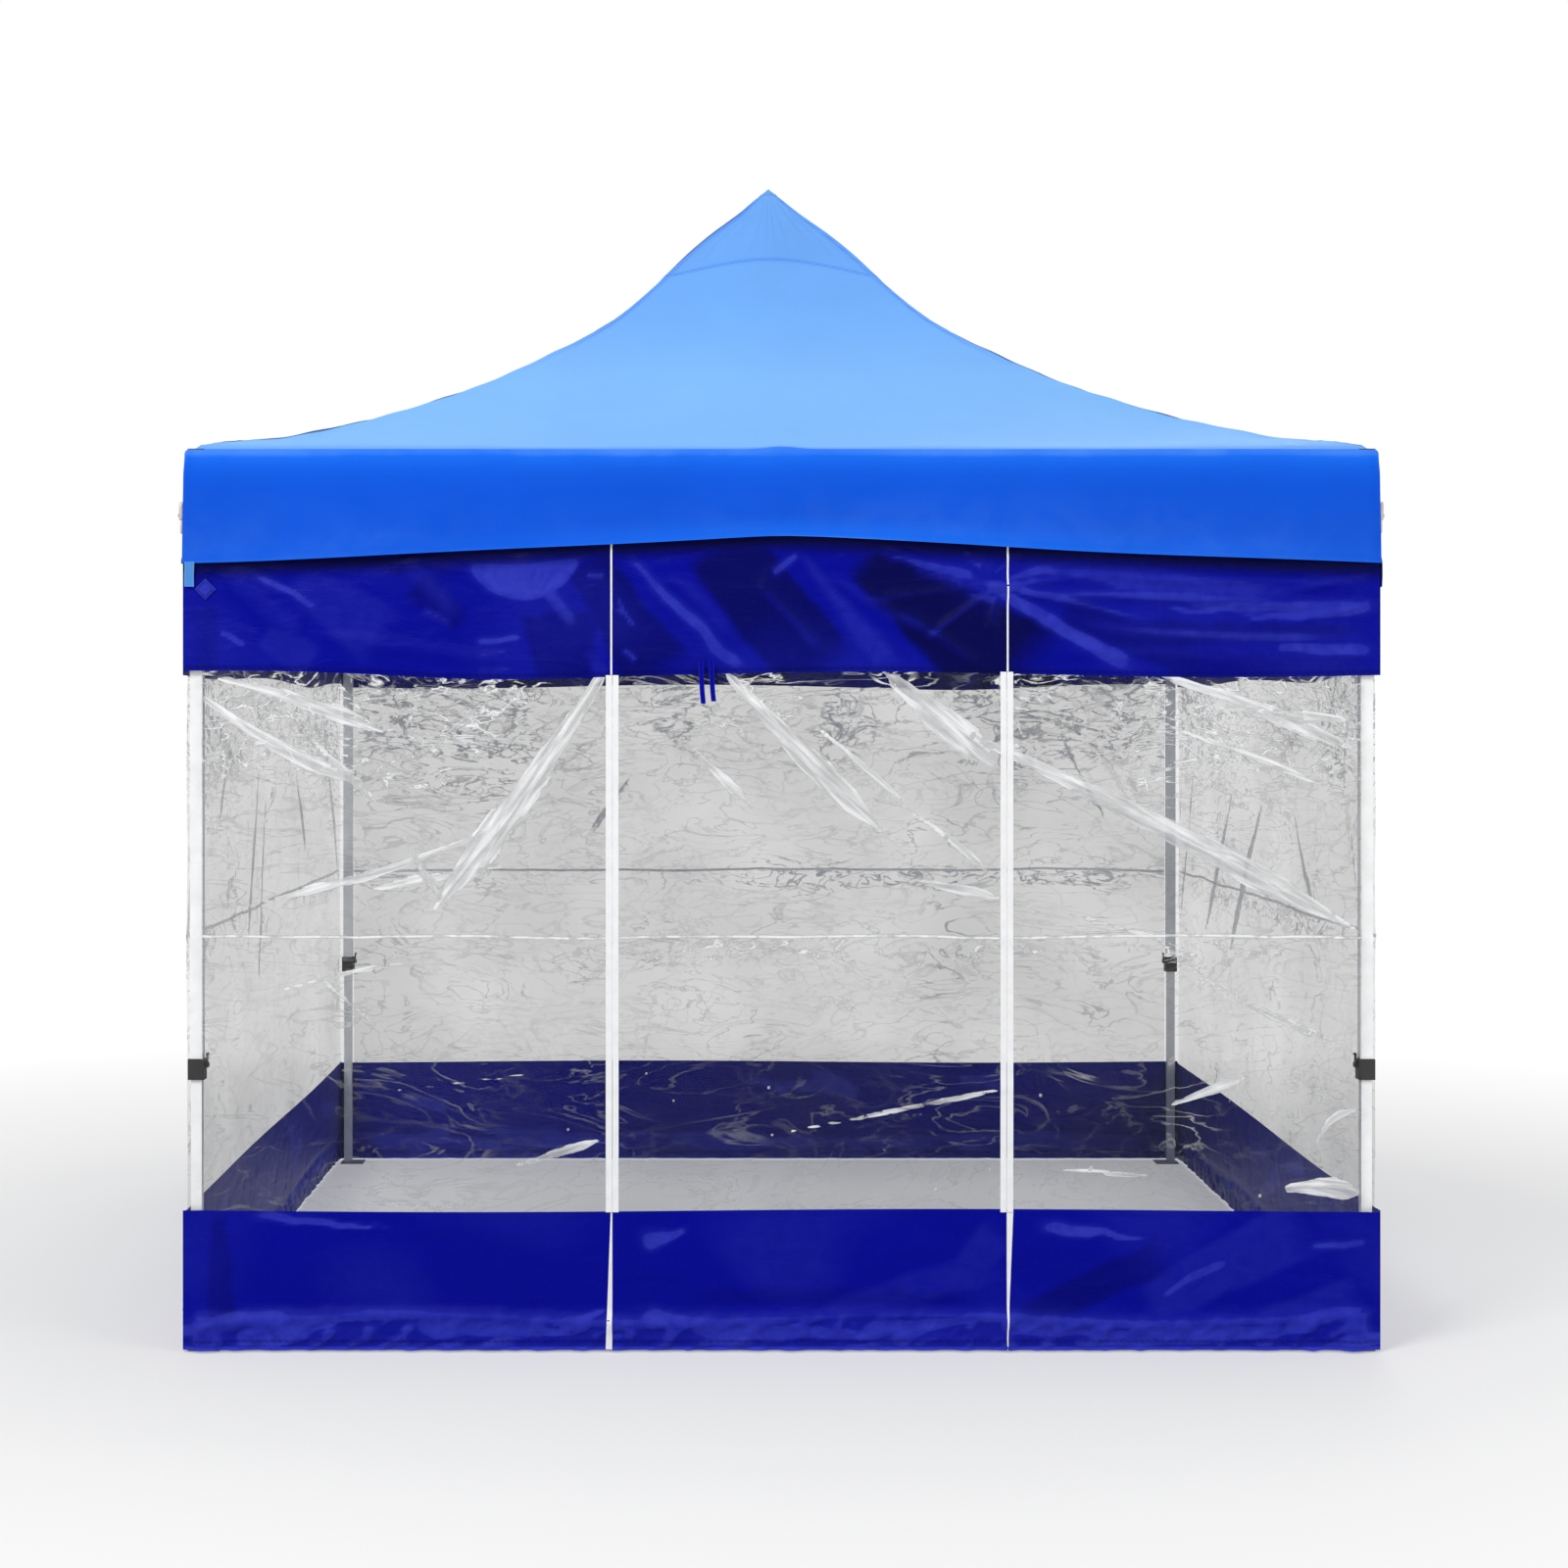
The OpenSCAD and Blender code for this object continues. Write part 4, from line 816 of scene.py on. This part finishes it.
def band_marks(x, z, k, out, marked):
    """painted_light, how pale the navy bands are, and turn, how dark: painted sheen and painted shade. The cloth gets
    painted sheen where it stands out, on facets and bowls and where it lies on the ground; painted shade between them,
    and a painted shadow of the valance just under it. The places of all are bent a little by ripples."""
    patches, beams, bowls, shades = marked
    painted_light = 0.45 * np.clip((out - 0.006) / 0.01, 0, 1) + 0.25 * np.clip(ripples(x, z, 90 + k, 0.5, 0.8, 7), 0, 1)
    bent = x + ripples(x, z, 101 + k, 0.16, 0.007, 9, 0.3), z + ripples(x, z, 111 + k, 0.13, 0.005, 9, 0.3)
    for patch in patches:
        painted_light = np.maximum(painted_light, 0.72 * painted_sheen_patch(*bent, *patch))
    for facet in beams:
        painted_light = np.maximum(painted_light, beam(*bent, *facet))
    for middle, size in bowls:
        far = np.sqrt(((bent[0] - middle[0]) / size[0]) ** 2 + ((bent[1] - middle[1]) / size[1]) ** 2)
        painted_light = np.maximum(painted_light, fall(far, 0.85, 1.12) * (0.42 + 0.55 * far))
    shade = 0 * x
    for dim in shades:
        shade = np.maximum(shade, beam(*bent, *dim))
    shade = shade * (1 - np.clip(1.3 * painted_light, 0, 1))
    # painted sheen where the foot lies in folds on the ground, under an uneven line, highest near the left end
    ground = (0.062 + 0.05 * bell(x + 1.27, 0.2) + 0.022 * np.sin(2.4 * x + 0.8 + k)
              + 0.6 * ripples(x, z, 121 + k, 0.5, 0.02, 5))
    on_folds = 0.3 + 0.6 * ramp(ripples(x - z, 3.5 * z, 131 + k, 0.4, 1.0, 8, 0.7), -0.35, 0.45)
    painted_light = np.maximum(painted_light, fall(bent[1] - ground, -0.01, 0.016) * on_folds)
    edge = valance_edge(x / HALF)
    # painted shadow of the valance on the cloth just under its edge
    painted_valance_shadow = ramp(z, edge - 0.055, edge - 0.01)
    return {"painted_light": painted_light * (1 - painted_valance_shadow), "turn": np.maximum(0.92 * painted_valance_shadow, shade)}


def wall_cloth(name, k, x_low, x_high, z_low=WALL_FOOT, z_high=WALL_HEAD, body=None, replaced=None, bare=False):
    """One panel of wall cloth: navy bands at head and foot with clear film sewn between them, as one sheet, or navy
    alone if bare. Rows follow the edges of the film. The relief moves it outwards, and under the valance it lies
    nearly flat. At a corner it stands out as much as the next panel. The film stops at the inner side of the legs,
    which show beside it."""
    relief, pulls, marked = WALLS[k]
    cell = OTHER_CELL if k else FRONT_CELL
    xs = np.linspace(x_low, x_high, max(3, int(round((x_high - x_low) / cell)) + 1))
    for edge in (-LEG_INSIDE, LEG_INSIDE):
        near = np.abs(xs - edge).argmin()
        if abs(xs[near] - edge) < cell:
            xs[near] = edge
    head, foot = window_head(xs), window_foot(xs)
    if bare:
        share = np.linspace(0, 1, max(3, int((z_high - z_low) / cell)))[:, None]
        z = z_high + (z_low - z_high) * share + 0 * xs[None, :]
        row_finish = np.zeros(len(share) - 1, int)
    else:
        counts = (int((z_high - WINDOW_HEAD) / cell) + 1, int((WINDOW_HEAD - WINDOW_FOOT) / cell / 1.15),
                  int((WINDOW_FOOT - z_low) / cell * 1.3))
        a, b, c = (np.linspace(0, 1, n)[:, None] for n in counts)
        z = np.concatenate([z_high + (head - z_high) * a, (head + (foot - head) * b)[1:],
                            (foot + (z_low - foot) * c**0.85)[1:]])
        row_finish = np.repeat([0, 1, 0], [n - 1 for n in counts])
    x = np.broadcast_to(xs, z.shape)
    to_corner = ramp(np.abs(x), WALL - 0.05, WALL - 0.004)
    out = kept_in(relief(x, z), z) * (1 - to_corner) + np.minimum(CORNER_OUT, room(z)) * to_corner
    x_out = np.sign(x) * ramp(np.abs(x), WALL - 0.022, WALL) * out
    seam = (bell(z - head - 0.008, 0.003) + bell(z - foot + 0.008, 0.003) + bell(z - z_low - 0.022, 0.003))
    # the bottom hem paler, and a little painted light where the foot stands out near the ground
    hem = 0.9 * fall(z, z_low + 0.006, z_low + 0.012) + 0.1 * np.clip(out / 0.02, 0, 1) * (z < 0.12)
    marks = {**film_marks(x, z, () if bare else pulls, k), **band_marks(x, z, k, out, marked)}
    if not bare:
        marks = {**marks, "seam": np.clip(seam, 0, 1), "hem": hem}
    middle_x = (x[:-1, :-1] + x[1:, 1:]) / 2
    held = ~((row_finish[:, None] > 0) & (np.abs(middle_x) > LEG_INSIDE))
    piece = cloth_piece(name, turned(np.stack([x + x_out, -(WALL + out), z], axis=-1), k), turned(OUTWARDS, k), CLOTH,
                        [WALL_NAVY, FILM], np.stack([x + 7 * k, z], axis=-1), row_finish, marks, held=held)
    above = f"{SIDES[k]}_mid_top"
    declare(piece, body or above, "wall_fabric", replaced or f"{SIDES[k]}_wall", k,
            flat=(x_high - x_low, z_high - z_low), held="hung", rests_on=[above])


wall_cloth("front_wall_left_cloth", 0, -WALL, DOOR_LEFT - DOOR_GAP)
wall_cloth("front_wall_right_cloth", 0, DOOR_RIGHT + DOOR_GAP, WALL)
wall_cloth("front_wall_over_door_cloth", 0, DOOR_LEFT, DOOR_RIGHT, z_low=DOOR_HEAD, bare=True)
wall_cloth("door_cloth", 0, DOOR_LEFT, DOOR_RIGHT, z_high=DOOR_HEAD, body="door", replaced="door_panel")
for k in (1, 2, 3):
    wall_cloth(f"{SIDES[k]}_wall_cloth", k, -WALL, WALL)


# ---------------------------------------------------------------- zips, pulls, ties and buckles
def tape(name, line, way, broad, z_low, z_high, lift, body, wide=(1.0, 1.0)):
    """A narrow strip that lies on the front wall and follows its relief, lift above it. It reaches from the upright
    line to one side by broad, times wide[0] at its low end and wide[1] at its high end."""
    x_low, x_high = sorted((line, line + way * broad))
    across, tall = x_high - x_low, z_high - z_low
    x, z = np.meshgrid(np.linspace(0, 1, 5), np.linspace(z_high, z_low, max(4, int(tall / 0.011))))
    share = wide[0] + (wide[1] - wide[0]) * (z - z_low) / tall
    x = x_low + x * across * share if way > 0 else x_high - (1 - x) * across * share
    points = np.stack([x, -(WALL + kept_in(front_relief(x, z), z) + lift), z], axis=-1)
    piece = cloth_piece(name, points, OUTWARDS, TAPE, [ZIP_WHITE], points[..., ::2])
    sheet = {}
    if across > 0.01:
        below = "door" if body == "door" else "front_wall_left" if x_high < 0 else "front_wall_right"
        sheet = {"flat": (across, tall), "area": across * tall * sum(wide) / 2, "held": "stretched",
                 "rests_on": [f"{below}_cloth"]}
    declare(piece, body, "zip_plastic", **sheet)


for end, edge, way, taper in (("left", DOOR_LEFT, -1, (1.0, 0.22)), ("right", DOOR_RIGHT, 1, (0.12, 1.0))):
    outer, inner, film_top = edge + way * 0.0007, edge - way * 0.0004, float(window_head(edge))
    film = (WINDOW_FOOT - 0.004, film_top + 0.004)
    tape(f"zip_tape_{end}_fixed", outer, way, 0.016, *film, 0.0012, "front_mid_top")
    tape(f"zip_tape_{end}_door", inner, -way, 0.015, *film, 0.0012, "door")
    tape(f"zip_teeth_{end}_foot", outer, way, 0.016, WALL_FOOT + 0.002, WINDOW_FOOT - 0.005, 0.0011, "front_mid_top",
         taper)
    tape(f"zip_teeth_{end}_head", outer, way, 0.0045, film_top + 0.005, WALL_HEAD - 0.16, 0.0011, "front_mid_top")


def rounded_bar(name, centre, size, look, corner, k=0, taper=0.0):
    """A closed block with rounded sides, turned to side k: superellipse sections |x/a|^(2/c) + |y/b|^(2/c) = 1
    stacked along Z, which draw in at both ends as a half ellipse, and narrow by the share taper towards the top."""
    along = np.linspace(-1, 1, 13)
    along = np.sign(along) * (1 - (1 - np.abs(along)) ** 1.6)
    turn = np.linspace(0, 2 * math.pi, 32, endpoint=False)
    swell = np.maximum(1 - np.abs(along) ** 8, 0.0) ** 0.5
    swell[[0, -1]] = 0.02
    swell = (swell * (1 - taper * (along + 1) / 2))[:, None]
    cx, cy = (np.sign(v) * np.abs(v) ** corner for v in (np.cos(turn), np.sin(turn)))
    points = np.stack([centre[0] + size[0] / 2 * swell * cx, centre[1] + size[1] / 2 * np.minimum(swell * 1.2, 1) * cy,
                       centre[2] + size[2] / 2 * along[:, None] + 0 * cx], axis=-1)
    rings, _, quads = ring_quads(len(along), len(turn))
    return put_mesh(name, turned(points, k), quads.tolist() + [rings[0, ::-1].tolist(), rings[-1].tolist()], [look])


for end in ("left", "right"):
    low, high = (np.array(corner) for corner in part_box(f"zip_pull_{end}"))
    middle = (low + high) / 2 + (0, -0.0035, 0)      # clear of the cloth's outer face for most of the way up
    size = (high[0] - low[0], max(high[1] - low[1], 0.002), high[2] - low[2])
    pull = rounded_bar(f"zip_pull_{end}_tab", middle, size, BLACK, 0.5, taper=0.25)
    declare(pull, f"zip_pull_{end}", "zip_plastic", f"zip_pull_{end}")


def strap(name, path, across, width, thick, look):
    """A flat strap: straight pieces between the points of path, rounded by three passes of averaging, swept by a
    width along the direction across. Gives back the piece and its length."""
    at, steps = run_along(path), 12 if len(path) < 4 else 22
    where = np.linspace(0, at[-1], steps)
    line = np.stack([np.interp(where, at, path[:, i]) for i in range(3)], axis=-1)
    for _ in range(3):
        line[1:-1] = (line[:-2] + 2 * line[1:-1] + line[2:]) / 4
    side = np.linspace(-0.5, 0.5, 7)
    points = line[:, None, :] + side[None, :, None] * width * np.asarray(across, float)
    run = run_along(line)
    flat = np.stack([np.broadcast_to(side * width, points.shape[:2]),
                     np.broadcast_to(run[:, None], points.shape[:2])], axis=-1)
    edge = np.broadcast_to(0.5 * (np.abs(side) > 0.4), points.shape[:2])
    middle = points.reshape(-1, 3).mean(axis=0)
    piece = cloth_piece(name, points, (middle[0], middle[1], 0), thick, [look], flat, marks={"hem": edge})
    return piece, float(run[-1])


# two ties that hang from the head band of the door, for holding the rolled door up
TIE_Y, TIE_WIDTH = -(WALL + 0.017), 0.0125
for part, at, foot in (("left", -0.2025, 1.628), ("right", -0.1765, 1.634)):
    path = np.array([(at, TIE_Y, 1.735), (at + 0.001, TIE_Y, 1.7), (at + 0.003, TIE_Y - 0.002, 1.66),
                     (at + 0.006, TIE_Y + 0.001, foot)])
    tie, tie_run = strap(f"door_tie_strap_{part}", path, (1, 0.05, 0), TIE_WIDTH, STRAP, WALL_NAVY)
    declare(tie, "door", "wall_fabric", flat=(TIE_WIDTH, tie_run), held="hung", rests_on=["door_cloth"])

# on each side a corner tab under the valance, which holds the wall to the leg, and a pale square cloth set on its
# point: a painted highlight at the corner
TAB_WIDTH, PATCH_STEP = 0.024, 0.0135
TAB_PATH = np.array([(-HALF + 0.014, -(HALF + 0.01), 1.985), (-HALF + 0.013, -(HALF + 0.0105), 1.95),
                     (-HALF + 0.013, -(HALF + 0.009), 1.922)])
right, up = np.meshgrid(np.linspace(-1, 1, 9), np.linspace(-1, 1, 9))
patch_x, patch_z = -1.447 + PATCH_STEP * (right - up), 1.916 + PATCH_STEP * (right + up)
rim = np.maximum(np.abs(right), np.abs(up))
for k, side in enumerate(SIDES):
    tab, tab_run = strap(f"{side}_corner_tab", turned(TAB_PATH, k), turned(np.array([1.0, 0.0, 0.0]), k), TAB_WIDTH,
                         CLOTH, TAB_BLUE)
    declare(tab, f"{side}_mid_top", "roof_fabric", across=k, flat=(TAB_WIDTH, tab_run), held="hung",
            rests_on=[f"{side}_valance"])
for k, side in enumerate(SIDES):
    lift = WALLS[k][0](patch_x, patch_z).max() + (0.0035 + 0.0012 * (1 - rim**4))
    sewn = cloth_piece(f"{side}_highlight_diamond", turned(np.stack([patch_x, -(WALL + lift), patch_z], axis=-1), k),
                       turned(OUTWARDS, k), CLOTH, [WALL_NAVY], np.stack([patch_x + 7 * k, patch_z], axis=-1),
                       marks={"seam": bell(rim - 0.8, 0.12), "painted_light": 0.9 + 0 * rim})
    declare(sewn, f"{side}_mid_top", "wall_fabric", across=k, flat=(0.0382, 0.0382), held="stretched",
            rests_on=[f"{side}_wall_cloth" if k else "front_wall_left_cloth"])

# side-release buckles that tension the roof's corners: a body, a tongue and a bar on each
for name, k, place in (("right", 1, -1.452), ("left", 3, 1.452)):
    for part, off, z, size, look, corner in (("body", 0.016, 2.115, (0.03, 0.012, 0.05), CREAM, 0.5),
                                             ("tongue", 0.0155, 2.078, (0.022, 0.008, 0.04), CREAM, 0.6),
                                             ("bar", 0.0215, 2.104, (0.018, 0.005, 0.009), BLACK, 0.4)):
        block = rounded_bar(f"{name}_buckle_{part}", (place, -(HALF + off), z), size, look, corner, k)
        declare(block, f"{name}_mid_top", "zip_plastic", across=1)


# ---------------------------------------------------------------- floor, light and camera
def bare_tree(data, kind):
    """The node tree of a material or world, emptied, and its new output node."""
    data.use_nodes = True
    data.node_tree.nodes.clear()
    return data.node_tree, data.node_tree.nodes.new(kind)


def seen_by_eye(tree):
    """1 for rays of the camera and their reflections and refractions, and 0 for the light that falls on things."""
    path = tree.nodes.new("ShaderNodeLightPath")
    return sums(tree, "MAXIMUM", *[path.outputs[f"Is {kind} Ray"] for kind in ("Camera", "Glossy", "Transmission")])


floor_mesh = bpy.data.meshes.new("floor")
floor_mesh.from_pydata([(-60, -60, 0), (60, -60, 0), (60, 60, 0), (-60, 60, 0)], [], [(0, 1, 2, 3)])
floor = put_object("floor", floor_mesh)
mat = bpy.data.materials.new("floor_pale")
tree, out = bare_tree(mat, "ShaderNodeOutputMaterial")
matte = node(tree, "ShaderNodeBsdfDiffuse", {"Color": (0.86, 0.86, 0.855, 1)})
glow = node(tree, "ShaderNodeEmission", {"Color": (1, 1, 1, 1), "Strength": 1.0})
coord = tree.nodes.new("ShaderNodeTexCoord")
away = node(tree, "ShaderNodeVectorMath", {0: coord.outputs["Object"]}, operation="LENGTH").node.outputs["Value"]
far = times(tree, seen_by_eye(tree), spread(tree, away, 2.6, 5.5, 0.35, 1.0))
tree.links.new(node(tree, "ShaderNodeMixShader", {0: far, 1: matte, 2: glow}), out.inputs["Surface"])
floor_mesh.materials.append(mat)

world = bpy.data.worlds.new("studio")
bpy.context.scene.world = world
tree, out = bare_tree(world, "ShaderNodeOutputWorld")
strength = spread(tree, seen_by_eye(tree), 0.0, 1.0, 0.42, 1.0)
back = node(tree, "ShaderNodeBackground", {"Color": (1, 1, 1, 1), "Strength": strength})
tree.links.new(back, out.inputs["Surface"])

# square soft lamps: place, aim, size, power
for name, place, aim, size, power in (
        ("key", (-4.5, -7.5, 7.5), (0, 0, 1.6), 3.5, 520), ("fill", (6.5, -6.5, 3.5), (0, 0, 1.4), 4.0, 170),
        ("top", (0.5, 1.0, 9.0), (0, 0, 2.2), 5.0, 130), ("rear", (3.0, 8.5, 6.0), (0, 0, 1.4), 4.0, 260)):
    data = bpy.data.lights.new(name, "AREA")
    data.shape, data.size, data.energy = "SQUARE", size, power
    lamp = put_object(name, data)
    lamp.location = place
    lamp.rotation_euler = (mathutils.Vector(aim) - lamp.location).to_track_quat("-Z", "Y").to_euler()

eye = bpy.data.cameras.new("eye")
eye.sensor_width, eye.lens = 36.0, 63.7
eye.shift_x, eye.shift_y = 0.049, -0.044
camera = put_object("eye", eye)
camera.location = (-0.187, -8.47, 1.6)
camera.rotation_euler = (math.pi / 2, 0, 0)
bpy.context.scene.camera = camera
bpy.context.scene.view_settings.view_transform = "Standard"

bpy.context.view_layer.update()
